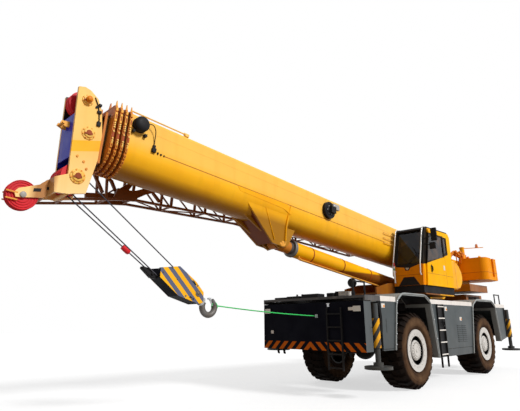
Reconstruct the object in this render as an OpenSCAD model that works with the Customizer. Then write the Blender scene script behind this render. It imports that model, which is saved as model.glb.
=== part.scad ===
// Two-axle rough-terrain mobile crane, boom lowered for travel.
// Millimetres. X runs forward along the boom, Y to the left (cab side), Z up.
// Lengths along X are measured from the slewing axis, then the whole machine
// is moved so that the origin lies under the middle of its outline.

/* [Carrier] */
// distance between the two axles
wheelbase = 4850; // [4750:5:4950]
// front axle ahead of the slewing axis
front_axle_x = 2550; // [2500:5:2600]
// front plate ahead of the front axle
front_overhang = 2400; // [2380:5:2460]
// rear edge behind the rear axle
rear_overhang = 2640; // [2600:5:2700]
// width over the side panels
body_w = 3160; // [3120:5:3200]
// chassis box above the wheel centres
frame_rise = 312.5; // [310:0.5:330]
// deck plate above the chassis box
deck_rise = 290; // [280:1:300]
// thickness of the deck plate
deck_t = 60; // [40:5:80]
// depth of the pale band along the deck edge
band_h = 120; // [100:5:140]
// half width of the chassis box
frame_half = 420; // [380:5:430]
// depth of the chassis box
frame_h = 700; // [660:5:720]
// plate thickness of the chassis box
frame_t = 25; // [16:1:32]
// underside of the front plate below the deck
plate_drop = 1240; // [1200:5:1280]
// top of the front plate below the deck
plate_lip = 130; // [125:5:160]
// underside of the middle side panels below the deck
side_drop = 1540; // [1490:5:1590]
// thickness of the side panels
panel_t = 40; // [25:1:50]

/* [Wheels] */
// tyre diameter over the lugs
tyre_d = 1875; // [1840:5:1900]
// tyre width
tyre_w = 750; // [720:5:770]
// depth of the tread lugs
lug_h = 42; // [36:1:48]
// number of tread lugs on each side
lug_n = 28; // [26:1:30]
// radius of the tyre bead
bead_r = 440; // [430:1:450]
// radius of the pale rim ring
ring_r = 515; // [500:1:525]
// inner radius of the pale rim ring
ring_in_r = 352; // [330:1:370]
// radius of the hub cap
cap_r = 250; // [230:1:265]
// kingpin distance from the tyre's middle plane
king_offset = 325; // [315:1:335]
// kingpin radius
king_r = 45; // [40:1:50]
// wheel spindle radius
spindle_r = 120; // [110:1:130]

/* [Outriggers] */
// beam width
beam_w = 150; // [130:1:152]
// beam depth
beam_h = 300; // [280:5:310]
// underside of the beams below the deck
beam_drop = 1060; // [1050:5:1070]
// wall of the outrigger boxes
box_t = 15; // [10:1:18]
// jack axis inside the outer face of the side panels
jack_in = 5; // [0:1:20]
// radius of the striped jack sleeve
jack_r = 90; // [80:1:95]
// jack rod radius
jack_rod_r = 60; // [50:1:65]
// float radius
pad_r = 310; // [290:5:330]
// underside of the left floats below the beams in the travel position
pad_drop = 550; // [530:5:570]
// how much further the right jacks are drawn in
pad_lift = 300; // [280:5:300]

/* [Upper structure] */
// thickness of the turntable side plates
plate_t = 50; // [40:1:55]
// inner face of the turntable side plates
plate_y = 480; // [475:1:485]
// boom foot pin behind the slewing axis
foot_back = 2350; // [2330:5:2370]
// height of the boom foot pin above the deck
foot_rise = 1210; // [1190:5:1230]
// boom foot pin radius
foot_r = 90; // [80:1:100]
// height of the luffing cylinder's base pin above the deck
base_pin_rise = 460; // [450:5:480]
// luffing cylinder base pin radius
base_pin_r = 70; // [60:1:80]
// underside of the counterweight above the deck
weight_rise = 880; // [860:5:900]
// depth of the counterweight
weight_h = 810; // [780:5:840]
// half width of the counterweight
weight_half = 1500; // [1460:5:1520]

/* [Cab] */
// inner side of the cab
cab_in_y = 548; // [540:1:560]
// outer side of the cab shell
cab_out_y = 1440; // [1420:5:1450]
// underside of the cab shell above the deck
cab_rise = 410; // [400:5:420]
// height of the cab shell
cab_h = 1710; // [1690:5:1730]
// thickness of the cab walls
cab_t = 45; // [36:1:50]
// thickness of the sliding door
door_t = 45; // [36:1:50]
// thickness of the glass
glass_t = 8; // [6:1:10]

/* [Boom] */
// boom angle in the travel position
boom_angle = 4.7; // [4.5:0.1:4.9]
// width of the base section
boom_w = 860; // [850:2:864]
// top of the base section above the foot pin line
boom_top = 770; // [760:2:780]
// underside of the base section below the foot pin line
boom_bot = 350; // [344:2:356]
// step from one section to the next, on each side
boom_step = 40; // [38:1:42]
// plate thickness of the boom sections
boom_t = 12; // [10:1:14]
// front end of the base section from the foot pin
base_end = 12770; // [12740:5:12800]
// distance from one collar to the next
collar_pitch = 95; // [92:1:98]
// thickness of a collar along the boom
collar_t = 46; // [42:1:50]
// luffing cylinder's rod pin along the boom
rod_pin_u = 8500; // [8480:5:8520]
// luffing cylinder's rod pin below the foot pin line
rod_pin_w = 680; // [670:2:690]
// barrel radius of the luffing cylinder
barrel_r = 195; // [185:1:200]
// rod radius of the luffing cylinder
luff_rod_r = 150; // [140:1:158]

/* [Hook] */
// angle of the hoist ropes below the horizontal
rope_angle = 36; // [34:0.5:38]
// angle of the hook block below the horizontal
block_angle = 29; // [27:0.5:31]
// hook block half thickness
block_half = 170; // [160:1:190]

/* [Fits] */
// radial play of pins and rods
pin_gap = 0.3; // [0.2:0.05:0.5]
// play of a sliding seat
seat_gap = 0.3; // [0.2:0.05:0.5]
// free space around moving pieces
run_gap = 6; // [5:0.5:8]

/* [Hidden] */
$fn = 48;
origin_x = 3490;
tyre_r = tyre_d / 2;
axle_z = tyre_r;
rear_axle_x = front_axle_x - wheelbase;
front_x = front_axle_x + front_overhang;
rear_x = rear_axle_x - rear_overhang;
frame_low = axle_z + frame_rise;
frame_top = frame_low + frame_h;
deck_z = frame_top + deck_rise;
plate_low = deck_z - plate_drop;
plate_high = deck_z - plate_lip;
side_low = deck_z - side_drop;
beam_z = deck_z - beam_drop;
pad_z = beam_z - pad_drop;
foot_z = deck_z + foot_rise;
base_pin_z = deck_z + base_pin_rise;
weight_low = deck_z + weight_rise;
cab_low = deck_z + cab_rise;
cab_high = cab_low + cab_h;
side_y = body_w / 2;
tyre_y = side_y - tyre_w / 2;
king_y = tyre_y - king_offset;
band_low = deck_z - band_h;
jack_y = side_y - jack_in;
beam_pitch = beam_w + 10;
front_box_x = front_x - 500;
rear_box_x = rear_x + 270;
beam_top = beam_z + beam_h;
box_half = beam_pitch / 2 + beam_w / 2 + run_gap;
box_end = side_y - 150;
foot_x = -foot_back;
boom_half = boom_w / 2;
hub_y = -75;
cab_door_y = cab_out_y + run_gap;
rod_len0 = norm([foot_x + rod_pin_u * cos(boom_angle) + rod_pin_w * sin(boom_angle),
                 foot_z + rod_pin_u * sin(boom_angle) - rod_pin_w * cos(boom_angle) - base_pin_z]);
rod_tilt = atan2(foot_z + rod_pin_u * sin(boom_angle) - rod_pin_w * cos(boom_angle) - base_pin_z,
                 foot_x + rod_pin_u * cos(boom_angle) + rod_pin_w * sin(boom_angle));
barrel_len = rod_len0 - 560;
head_u = base_end + 350;
low_sheave = [head_u + 300, -642];
top_sheave = [head_u + 362, 711];
nose_sheave = [head_u + 960, -1090];
low_sheave_r = 235;
head_y = 235;
nose_y = 64;
top_sheave_r = 225;
nose_sheave_r = 230;
rope_r = 11;
groove = 24;
block_sheave_r = 185;
rope_len = 2307;
hook_r = 155;
hook_d = 1240;
arch_top = deck_z + 100;
arch_t = 45;
arch_in_y = 860;
rear_low = plate_low - 30;
front_t = 50;
plate_half = side_y - 27;
deck_rear = rear_x + 380;
hood_z = deck_z + 350;
hood_front = rear_axle_x - 700;
rail_z = deck_z + 360;
ring_out_r = 800;
ring_hole_r = 660;
table_z = deck_z + 160;
table_t = 40;
nose_x = 2600;
weight_front = -3450;
weight_rear = -4880;
weight_notch = -4350;
notch_half = 560;
tray_z = deck_z + 440;
tray_h = 250;
tray_half = 1150;
eye_half = 150;
cab_rear = -550;
cab_front = 1600;
cab_base_z = table_z + table_t;
door_rear = 80;
rail_h = 15;
winch_x = -3720;
winch_z = foot_z + 100;
beam_tail = 1300;
fin_h = 140;
wedge_front = 10050;
wedge_rear = 8450;
wedge_top = 82;
drum_r = 135;
reel_u = 7000;
jib_t = 45;
jib_rear = 4000;
jib_mid = head_u - 1120;
jib_front = head_u + 530;
jib_high = 330;
jib_low = [[jib_rear, -100], [jib_mid - 3000, -200], [jib_mid, -490], [jib_front, -930]];
jib_y = -950;
jib_in = 500;

// Shapes that repeat

// box between two corners
module bx(x0, x1, y0, y1, z0, z1) {
  translate([x0, y0, z0]) cube([x1 - x0, y1 - y0, z1 - z0]);
}

// outline in the X-Z plane, extruded from y0 to y1
module slab(pts, y0, y1) {
  translate([0, y1, 0]) rotate([90, 0, 0]) linear_extrude(y1 - y0) polygon(pts);
}

// outline in the X-Y plane, extruded from z0 to z1
module sheet(pts, z0, z1) {
  translate([0, 0, z0]) linear_extrude(z1 - z0) polygon(pts);
}

// cylinder along Y
module cyl_y(x, z, r, y0, y1) {
  translate([x, y0, z]) rotate([-90, 0, 0]) cylinder(r = r, h = y1 - y0);
}

// cylinder along Z
module cyl_z(x, y, r, z0, z1) {
  translate([x, y, z0]) cylinder(r = r, h = z1 - z0);
}

// cylinder along X
module cyl_x(y, z, r, x0, x1) {
  translate([x0, y, z]) rotate([0, 90, 0]) cylinder(r = r, h = x1 - x0);
}

// round bar between two points, run on by its radius at both ends
module bar(a, b, r) {
  d = b - a;
  n = norm(d);
  translate(a - d / n * r)
    rotate([0, acos(d[2] / n), atan2(d[1], d[0])])
      cylinder(r = r, h = n + 2 * r, $fn = 24);
}

// a shape and its mirror image on the other side
module both_sides() {
  children();
  mirror([0, 1, 0]) children();
}

// everything measured from the slewing axis
module machine() {
  translate([-origin_x, 0, 0]) children();
}

// everything measured along the boom from its foot pin
module on_boom() {
  translate([foot_x, 0, foot_z]) rotate([0, -boom_angle, 0]) children();
}

// everything measured along the luffing cylinder from its base pin
module on_cylinder() {
  translate([0, 0, base_pin_z]) rotate([0, -rod_tilt, 0]) children();
}

// Carrier

// X of a straight edge from p to q at height z
function edge_x(p, q, z) = p[0] + (q[0] - p[0]) * (z - p[1]) / (q[1] - p[1]);

// outer corners of the wheel arches, front leg first
front_arch = [[front_axle_x + tyre_r + 262.5, plate_low], [front_axle_x + tyre_r + 47.5, band_low + 30],
              [front_axle_x + tyre_r - 247.5, arch_top], [front_axle_x - tyre_r + 317.5, arch_top],
              [front_axle_x - tyre_r + 17.5, band_low + 30], [front_axle_x - tyre_r - 212.5, side_low]];
rear_arch = [[rear_axle_x + tyre_r + 312.5, side_low], [rear_axle_x + tyre_r - 47.5, band_low + 30],
             [rear_axle_x + tyre_r - 417.5, arch_top], [rear_axle_x - tyre_r + 17.5, arch_top],
             [rear_axle_x - tyre_r - 282.5, band_low + 30], [rear_axle_x - tyre_r - 462.5, rear_low]];
arch_shift = [[-arch_t, 0], [-arch_t, -20], [-20, -arch_t], [20, -arch_t], [arch_t, -20], [arch_t, 0]];

// opening in the frame that one outrigger beam slides in
module beam_way(x) {
  bx(x - beam_w / 2 - run_gap, x + beam_w / 2 + run_gap, -side_y, side_y,
     beam_z - seat_gap, beam_top + run_gap);
}

// transverse box that holds two beams side by side
module beam_box(x) {
  bx(x - box_half - box_t, x + box_half + box_t, -box_end, box_end,
     beam_z - seat_gap - box_t, beam_top + run_gap + box_t);
}

module chassis_frame() {
  color("DimGray") machine() difference() {
    union() {
      bx(rear_box_x, front_x - front_t, -frame_half, frame_half, frame_low, frame_top);
      beam_box(front_box_x);
      beam_box(rear_box_x);
      cyl_z(0, 0, ring_out_r - 20, frame_top - 50, deck_z - deck_t);
    }
    bx(rear_box_x + box_half + box_t, front_box_x - box_half - box_t,
       -frame_half + frame_t, frame_half - frame_t, frame_low + frame_t, frame_top - frame_t);
    cyl_z(0, 0, ring_hole_r, frame_top - 60, deck_z);
    for (s = [-1, 1]) {
      beam_way(front_box_x + s * beam_pitch / 2);
      beam_way(rear_box_x + s * beam_pitch / 2);
    }
  }
}

module front_plate() {
  color("DarkSlateGray") machine() difference() {
    bx(front_x - 300, front_x, -plate_half, plate_half, plate_low, plate_high);
    bx(front_x - 301, front_x - front_t, -plate_half + 40, plate_half - 40,
       plate_low + 40, plate_high - 40);
  }
}

module deck() {
  color("WhiteSmoke") machine() {
    difference() {
      union() {
        bx(deck_rear, front_x - 20, -arch_in_y, arch_in_y, deck_z - deck_t, deck_z);
        for (x = [front_box_x - 500, front_arch[5][0] - 250, rear_arch[0][0] - 50, rear_arch[5][0] + 100])
          bx(x - 30, x + 30, -ring_out_r, ring_out_r, frame_top, deck_z - deck_t);
        both_sides() {
          deck_side(front_arch[1][0] + 12, front_x - 20);
          deck_side(rear_arch[1][0] + 12, front_arch[4][0] - 12);
          deck_side(deck_rear, rear_arch[4][0] - 12);
        }
      }
      cyl_z(0, 0, ring_out_r + 15, deck_z - deck_t - 1, deck_z + 1);
    }
  }
}

// deck plate and pale band beside the wheel arches
module deck_side(x0, x1) {
  bx(x0, x1, arch_in_y - 1, side_y, deck_z - deck_t, deck_z);
  bx(x0, x1, side_y - panel_t, side_y, band_low, deck_z - deck_t + 1);
}

module side_panels() {
  color("Gray") machine() both_sides() {
    slab([front_arch[0], [front_box_x - box_half - 30, plate_low],
          [front_box_x - box_half - 30, band_low],
          [edge_x(front_arch[0], front_arch[1], band_low), band_low]], side_y - panel_t, side_y);
    slab([rear_arch[0], front_arch[5],
          [edge_x(front_arch[5], front_arch[4], band_low), band_low],
          [edge_x(rear_arch[0], rear_arch[1], band_low), band_low]], side_y - panel_t, side_y);
    bx(rear_arch[0][0] + 30, front_arch[5][0] - 40, ring_out_r + 10, side_y - panel_t + 1,
       side_low, band_low);
    slab([rear_arch[5], [rear_box_x + box_half + 30, rear_low + 120],
          [rear_box_x + box_half + 30, band_low],
          [edge_x(rear_arch[5], rear_arch[4], band_low), band_low]], side_y - panel_t, side_y);
  }
}

// bent strip that follows a wheel arch
module arch_strip(arch, y0, y1) {
  slab(concat(arch, [for (i = [5:-1:0]) arch[i] + arch_shift[i]]), y0, y1);
}

module wheel_arches() {
  color("Silver") machine() both_sides() for (arch = [front_arch, rear_arch]) {
    arch_strip(arch, side_y - 140, side_y + 20);
    intersection() {
      arch_strip(arch, arch_in_y, side_y - 139);
      bx(-9000, 9000, 0, 9000, arch_top - 315, 9000);
    }
  }
}

module rear_body() {
  color("Gray") machine() {
    slab([[deck_rear, deck_z], [rear_x, rear_low + 760], [rear_x, rear_low + 150],
          [rear_x + 40, rear_low + 150], [rear_x + 40, rear_low + 745], [deck_rear, deck_z - deck_t]],
         -jack_y + jack_r + 30, jack_y - jack_r - 30);
    bx(rear_x + 40, rear_box_x - box_half - box_t, -frame_half, frame_half, frame_low, frame_low + 300);
  }
}

module engine_hood() {
  color("Goldenrod") machine() difference() {
    bx(deck_rear + 40, hood_front, -arch_in_y + 20, arch_in_y - 20, deck_z, hood_z);
    bx(deck_rear + 70, hood_front - 30, -arch_in_y + 50, arch_in_y - 50, deck_z - 1, hood_z - 30);
  }
}

module engine_block() {
  color("DimGray") machine()
    bx(deck_rear + 240, hood_front - 50, -frame_half + frame_t + 20, frame_half - frame_t - 20,
       frame_low + frame_t, frame_top - frame_t - 60);
}

// axle housing with its yokes and kingpins
module axle(x) {
  difference() {
    union() {
      cyl_y(x, axle_z, 130, -king_y + 160, king_y - 160);
      translate([x, 0, axle_z]) sphere(r = 290);
      both_sides() {
        cyl_y(x, axle_z, 170, king_y - 260, king_y - 150);
        bx(x - 90, x + 90, king_y - 180, king_y - 118, axle_z - 245, axle_z + 245);
        for (s = [-1, 1])
          bx(x - 90, x + 90, king_y - 170, king_y + 85, axle_z + s * 215 - 30, axle_z + s * 215 + 30);
        cyl_z(x, king_y, king_r, axle_z - 240, axle_z + 240);
        bx(x - 160, x + 160, frame_half - 110, frame_half - 20, axle_z, frame_low);
      }
    }
  }
}

module axles() {
  color("DimGray") machine() {
    axle(front_axle_x);
    axle(rear_axle_x);
  }
}

// side ladder, hung on the middle side panel
module side_ladder(x) {
  for (s = [-1, 1])
    bx(x + s * 200 - 15, x + s * 200 + 15, side_y, side_y + 45, side_low - 260, band_low);
  for (i = [0:4])
    bx(x - 200, x + 200, side_y + 5, side_y + 45, side_low + 60 + i * 320, side_low + 85 + i * 320);
}

module ladders() {
  color("DimGray") machine() {
    both_sides() side_ladder(front_arch[5][0] - 325);
    for (s = [-1, 1])
      bx(front_x, front_x + 45, 750 + s * 200 - 15, 750 + s * 200 + 15, plate_low - 420, plate_high - 130);
    for (i = [0:4])
      bx(front_x + 5, front_x + 45, 550, 950, plate_low - 380 + i * 300, plate_low - 355 + i * 300);
  }
}

// tube hoop standing on the deck
module hoop(x0, x1, y) {
  bar([x0, y, deck_z + 20], [x0, y, rail_z - 20], 20);
  bar([x1, y, deck_z + 20], [x1, y, rail_z - 20], 20);
  bar([x0, y, rail_z - 20], [x1, y, rail_z - 20], 20);
}

module handrails() {
  color("Silver") machine() {
    hoop(front_x - 650, front_x - 150, 1200);
    both_sides() hoop(deck_rear + 60, deck_rear + 560, side_y - 120);
  }
}

module lamps() {
  color("White") machine() both_sides() {
    bx(front_x, front_x + 35, plate_half - 263, plate_half - 73, plate_high - 230, plate_high - 110);
    bx(rear_x - 30, rear_x, jack_y - 575, jack_y - 275, rear_low + 420, rear_low + 540);
  }
}

module slew_ring() {
  color("DimGray") machine() difference() {
    cyl_z(0, 0, ring_out_r, deck_z - deck_t, table_z - seat_gap);
    cyl_z(0, 0, ring_hole_r, deck_z - deck_t - 1, table_z);
  }
}

// Wheels and steering. Each is drawn for the left side about its own axle end.

module at_wheel(x, side) {
  machine() mirror([0, side < 0 ? 1 : 0, 0]) translate([x, 0, axle_z]) children();
}

module knuckle() {
  difference() {
    union() {
      cyl_z(0, king_y, king_r + 50, -180, 180);
      cyl_y(0, 0, spindle_r + 25, king_y, tyre_y + hub_y - 20);
      cyl_y(0, 0, spindle_r, king_y, tyre_y + hub_y + 120);
      bx(-300, 0, king_y - 30, king_y + 30, -50, 30);
    }
    cyl_z(0, king_y, king_r + pin_gap, -200, 200);
  }
}

// tyre body cross-section half: radius and distance from the middle plane
tyre_half = [[bead_r, tyre_w / 2 - 65], [bead_r + 85, tyre_w / 2 - 59], [bead_r + 170, tyre_w / 2 - 20],
             [tyre_r * 0.75, tyre_w / 2 - 4], [tyre_r * 0.87, tyre_w / 2 - 24],
             [tyre_r * 0.92, tyre_w / 2 - 70],
             [tyre_r - lug_h, tyre_w / 2 - 125]];

// star of tread lugs: four corners to each lug
function lug_star(n, r_top, r_root) = [for (i = [0:n - 1], k = [0:3])
  let (a = (i + [0.08, 0.14, 0.56, 0.62][k]) * 360 / n, r = k == 0 || k == 3 ? r_root : r_top)
  [r * cos(a), r * sin(a)]];

// the star, open inside so that only the lugs stand out of the tyre
module lug_ring() {
  difference() {
    polygon(lug_star(lug_n, tyre_r, tyre_r - lug_h - 15));
    circle(r = 0.8 * tyre_r);
  }
}

// lugs of one half of the tread, with the shoulder drawn in
module tread_half() {
  rotate([-90, 0, 0]) {
    linear_extrude(tyre_w / 2 - 110) lug_ring();
    translate([0, 0, tyre_w / 2 - 111]) linear_extrude(93, scale = 0.9) lug_ring();
  }
}

// turn a half outline (radius, width) about the wheel's own axis
module turned(pts) {
  rotate([-90, 0, 0]) rotate_extrude($fn = 96) polygon(pts);
}

module tyre() {
  translate([0, tyre_y, 0]) {
    turned(concat(tyre_half, [for (i = [6:-1:0]) [tyre_half[i][0], -tyre_half[i][1]]]));
    tread_half();
    mirror([0, 1, 0]) rotate([0, 180 / lug_n, 0]) tread_half();
  }
}

module rim() {
  y1 = tyre_w / 2 - 58;
  translate([0, tyre_y, 0])
    turned([[spindle_r + pin_gap, hub_y - 15], [bead_r - 35, hub_y - 15], [bead_r - 35, -y1],
            [bead_r - seat_gap, -y1], [bead_r - seat_gap, y1], [ring_r, y1 + 4], [ring_r, y1 + 26],
            [ring_in_r, y1 + 14], [ring_in_r, y1 - 12], [bead_r - 35, y1 - 12], [bead_r - 35, hub_y + 35],
            [cap_r, hub_y + 35], [cap_r, y1 - 25], [cap_r - 25, y1], [0, y1],
            [0, hub_y + 126], [spindle_r + pin_gap, hub_y + 126]]);
}

module knuckle_fl() { color("DimGray") at_wheel(front_axle_x, 1) knuckle(); }
module knuckle_fr() { color("DimGray") at_wheel(front_axle_x, -1) knuckle(); }
module knuckle_rl() { color("DimGray") at_wheel(rear_axle_x, 1) knuckle(); }
module knuckle_rr() { color("DimGray") at_wheel(rear_axle_x, -1) knuckle(); }
module tyre_fl() { color("DarkSlateGray") at_wheel(front_axle_x, 1) tyre(); }
module tyre_fr() { color("DarkSlateGray") at_wheel(front_axle_x, -1) tyre(); }
module tyre_rl() { color("DarkSlateGray") at_wheel(rear_axle_x, 1) tyre(); }
module tyre_rr() { color("DarkSlateGray") at_wheel(rear_axle_x, -1) tyre(); }
module rim_fl() { color("WhiteSmoke") at_wheel(front_axle_x, 1) rim(); }
module rim_fr() { color("WhiteSmoke") at_wheel(front_axle_x, -1) rim(); }
module rim_rl() { color("WhiteSmoke") at_wheel(rear_axle_x, 1) rim(); }
module rim_rr() { color("WhiteSmoke") at_wheel(rear_axle_x, -1) rim(); }

// Outriggers. Each is drawn for the left side at X of its own beam.

module at_beam(x, side) {
  machine() mirror([0, side < 0 ? 1 : 0, 0]) translate([x, 0, 0]) children();
}

module beam() {
  difference() {
    union() {
      difference() {
        bx(-beam_w / 2, beam_w / 2, -beam_tail, jack_y, beam_z, beam_top);
        bx(-beam_w / 2 + 14, beam_w / 2 - 14, -beam_tail - 1, jack_y - jack_r - 30,
           beam_z + 14, beam_top - 14);
      }
      cyl_z(0, jack_y, jack_r, beam_z - 100, beam_top + 250);
      cyl_z(0, jack_y, jack_r - 20, beam_top + 249, beam_top + 580);
    }
    cyl_z(0, jack_y, jack_rod_r + pin_gap, beam_z - 101, beam_top + 560);
  }
}

module jack(lift) {
  translate([0, 0, lift]) {
    cyl_z(0, jack_y, jack_rod_r, pad_z + 60, beam_top + 550 - pad_lift);
    cyl_z(0, jack_y, jack_rod_r + 50, pad_z + 60, pad_z + 140);
    cyl_z(0, jack_y, pad_r, pad_z, pad_z + 61);
  }
}

module beam_fl() { color("Goldenrod") at_beam(front_box_x + beam_pitch / 2, 1) beam(); }
module beam_fr() { color("Goldenrod") at_beam(front_box_x - beam_pitch / 2, -1) beam(); }
module beam_rl() { color("Goldenrod") at_beam(rear_box_x - beam_pitch / 2, 1) beam(); }
module beam_rr() { color("Goldenrod") at_beam(rear_box_x + beam_pitch / 2, -1) beam(); }
module jack_fl() { color("Silver") at_beam(front_box_x + beam_pitch / 2, 1) jack(0); }
module jack_fr() { color("Silver") at_beam(front_box_x - beam_pitch / 2, -1) jack(pad_lift); }
module jack_rl() { color("Silver") at_beam(rear_box_x - beam_pitch / 2, 1) jack(0); }
module jack_rr() { color("Silver") at_beam(rear_box_x + beam_pitch / 2, -1) jack(pad_lift); }

// Upper structure

table_plate = [[nose_x, table_z], [nose_x, table_z + 180], [1900, table_z + 330], [300, base_pin_z + 170],
               [-600, foot_z - 430], [foot_x + 650, foot_z + 300], [foot_x + 320, foot_z + 440],
               [foot_x - 420, foot_z + 440], [foot_x - 900, weight_low + weight_h - 60],
               [weight_notch, weight_low + weight_h - 60], [weight_notch, tray_z + tray_h - 1],
               [foot_x - 350, tray_z + tray_h - 1], [foot_x + 500, table_z]];

module turntable() {
  color("Gold") machine() {
    both_sides() {
      slab(table_plate, plate_y, plate_y + plate_t);
      cyl_y(0, base_pin_z, base_pin_r + 80, eye_half + 12, plate_y + 1);
      cyl_y(foot_x, foot_z, foot_r + 90, plate_y + plate_t - 1, plate_y + plate_t + 12);
    }
    cyl_y(0, base_pin_z, base_pin_r, -plate_y - 1, plate_y + 1);
    cyl_y(foot_x, foot_z, foot_r, -plate_y - 1, plate_y + 1);
    bx(foot_x + 500, nose_x, -plate_y - plate_t, plate_y + plate_t, table_z, cab_base_z);
    cyl_z(0, 0, ring_out_r + 20, table_z, cab_base_z);
    bx(weight_notch, foot_x - 300, -tray_half, tray_half, tray_z, tray_z + tray_h);
    bx(cab_rear + 60, 1450, plate_y + plate_t - 1, cab_out_y - 20, table_z, cab_base_z);
  }
}

// plan of the counterweight with rounded front corners and a notch for the winches
weight_plan = concat(
  [for (a = [0:15:90]) [weight_front - 220 + 220 * cos(a), weight_half - 220 + 220 * sin(a)]],
  [[weight_rear + 300, weight_half], [weight_rear, weight_half - 350],
   [weight_rear, -weight_half + 350], [weight_rear + 300, -weight_half]],
  [for (a = [90:-15:0]) [weight_front - 220 + 220 * cos(a), -weight_half + 220 - 220 * sin(a)]],
  [[weight_front, -notch_half], [weight_notch, -notch_half], [weight_notch, notch_half],
   [weight_front, notch_half]]);

module counterweight() {
  color("Gold") machine() difference() {
    sheet(weight_plan, weight_low, weight_low + weight_h);
    both_sides() bx(weight_notch + 50, weight_notch + 300, weight_half - 60, weight_half + 10,
                    weight_low + 120, weight_low + weight_h + 1);
  }
}

module winches() {
  color("DimGray") machine() {
    cyl_y(winch_x, winch_z, 210, -plate_y, plate_y);
    for (y = [-plate_y + 20, -18, plate_y - 56])
      cyl_y(winch_x, winch_z, 320, y, y + 36);
  }
}

// cab side outline from the rear lower corner, forward and round
cab_side = [[cab_rear, cab_low], [cab_front, cab_low], [cab_front - 80, cab_low + 620],
            [cab_front - 400, cab_high], [cab_rear + 100, cab_high], [cab_rear, cab_high - 110]];
cab_inner = [[cab_rear + cab_t, cab_low + cab_t], [cab_front - cab_t - 4, cab_low + cab_t],
             [cab_front - 80 - cab_t, cab_low + 612],
             [cab_front - 400 - cab_t + 10, cab_high - cab_t], [cab_rear + 100 + 18, cab_high - cab_t],
             [cab_rear + cab_t, cab_high - 110 - 20]];
door_side = [[door_rear, cab_low + rail_h], [cab_front - 180, cab_low + rail_h],
             [cab_front - 255, cab_low + 620], [cab_front - 545, cab_high - 110],
             [door_rear, cab_high - 110]];
door_window = [[door_rear + 60, cab_low + 900], [cab_front - 315, cab_low + 690],
               [cab_front - 565, cab_high - 190], [door_rear + 60, cab_high - 190]];
quarter_window = [[cab_rear + 300, cab_low + 1060], [cab_rear + 540, cab_low + 1060],
                  [cab_rear + 540, cab_high - 190], [cab_rear + 300, cab_high - 190]];
right_window = [[cab_rear + 300, cab_low + 800], [cab_front - 260, cab_low + 680],
                [cab_front - 530, cab_high - 190], [cab_rear + 300, cab_high - 190]];
wall_opening = [[door_rear + 50, cab_low + 90], [cab_front - 250, cab_low + 90],
                [cab_front - 310, cab_low + 620], [cab_front - 580, cab_high - 160],
                [door_rear + 50, cab_high - 160]];
screen_low = edge_pt(cab_side[2], cab_side[3], 0.02);
screen_high = edge_pt(cab_side[2], cab_side[3], 0.93);

// point part of the way from p to q
function edge_pt(p, q, k) = p + (q - p) * k;

module cab_shell() {
  color("Gold") machine() difference() {
    union() {
      slab(cab_side, cab_in_y, cab_out_y);
      bx(cab_rear + 10, cab_front - 130, cab_out_y - 1, cab_out_y + run_gap + door_t,
         cab_low, cab_low + rail_h - seat_gap);
    }
    slab(cab_inner, cab_in_y + cab_t, cab_out_y - cab_t);
    slab(wall_opening, cab_out_y - cab_t - 1, cab_out_y + 1);
    slab(quarter_window, cab_out_y - cab_t - 1, cab_out_y + 1);
    slab(right_window, cab_in_y - 1, cab_in_y + cab_t + 1);
    slab([screen_low + [100, 0], screen_high + [100, 0], screen_high - [150, 0], screen_low - [150, 0]],
         cab_in_y + cab_t + 30, cab_out_y - cab_t - 30);
    bx(cab_rear - 1, cab_rear + cab_t + 1, cab_in_y + 150, cab_out_y - 150, cab_low + 850, cab_high - 260);
    bx(cab_rear + 350, cab_front - 650, cab_in_y + 150, cab_out_y - 150,
       cab_high - cab_t - 1, cab_high + 1);
  }
}

// pane that fills an outline in the X-Z plane with a small joint all round
module pane(pts, y) {
  slab(pts, y, y + glass_t);
}

module cab_glass() {
  color("SteelBlue", 0.5) machine() {
    pane(quarter_window, cab_out_y - 25);
    pane(right_window, cab_in_y + 15);
    slab([screen_low - [12, 0], screen_high - [12, 0],
          screen_high - [12 + glass_t, 0], screen_low - [12 + glass_t, 0]],
         cab_in_y + cab_t + 30, cab_out_y - cab_t - 30);
    bx(cab_rear + 15, cab_rear + 15 + glass_t, cab_in_y + 150, cab_out_y - 150,
       cab_low + 850, cab_high - 260);
    bx(cab_rear + 350, cab_front - 650, cab_in_y + 150, cab_out_y - 150,
       cab_high - 25, cab_high - 25 + glass_t);
  }
}

module cab_base() {
  color("DimGray") machine() difference() {
    bx(cab_rear + 50, cab_front - 20, cab_in_y, cab_out_y, cab_base_z, cab_low);
    bx(cab_rear + 100, cab_front - 70, cab_in_y + 50, cab_out_y - 50, cab_base_z - 1, cab_low - 40);
  }
}

module cab_seat() {
  color("DimGray") machine() {
    y = (cab_in_y + cab_out_y) / 2;
    bx(50, 350, y - 150, y + 150, cab_low + cab_t, cab_low + 330);
    bx(-30, 480, y - 250, y + 250, cab_low + 329, cab_low + 450);
    slab([[-30, cab_low + 449], [90, cab_low + 449], [-40, cab_low + 1150], [-150, cab_low + 1150]],
         y - 240, y + 240);
    for (s = [-1, 1])
      bx(60, 620, y + s * 310 - 50, y + s * 310 + 50, cab_low + cab_t, cab_low + 560);
  }
}

module cab_mirrors() {
  z = cab_high - 520;
  x = edge_x(cab_side[2], cab_side[3], z) - 70;
  color("DimGray") machine() {
    bx(x - 25, x + 25, cab_out_y, cab_out_y + 30, z - 25, z + 25);
    bar([x, cab_out_y + 25, z], [x + 120, cab_out_y + 200, z], 12);
    bar([x + 120, cab_out_y + 200, z], [x + 120, cab_out_y + 200, z + 320], 12);
    bx(x + 90, x + 140, cab_out_y + 110, cab_out_y + 290, z + 80, z + 300);
  }
}

module cab_door() {
  color("Gold") machine() difference() {
    slab(door_side, cab_door_y, cab_door_y + door_t);
    slab(door_window, cab_door_y - 1, cab_door_y + door_t + 1);
  }
}

module door_glass() {
  color("SteelBlue", 0.5) machine() pane(door_window, cab_door_y + 18);
}

// Boom

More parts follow.
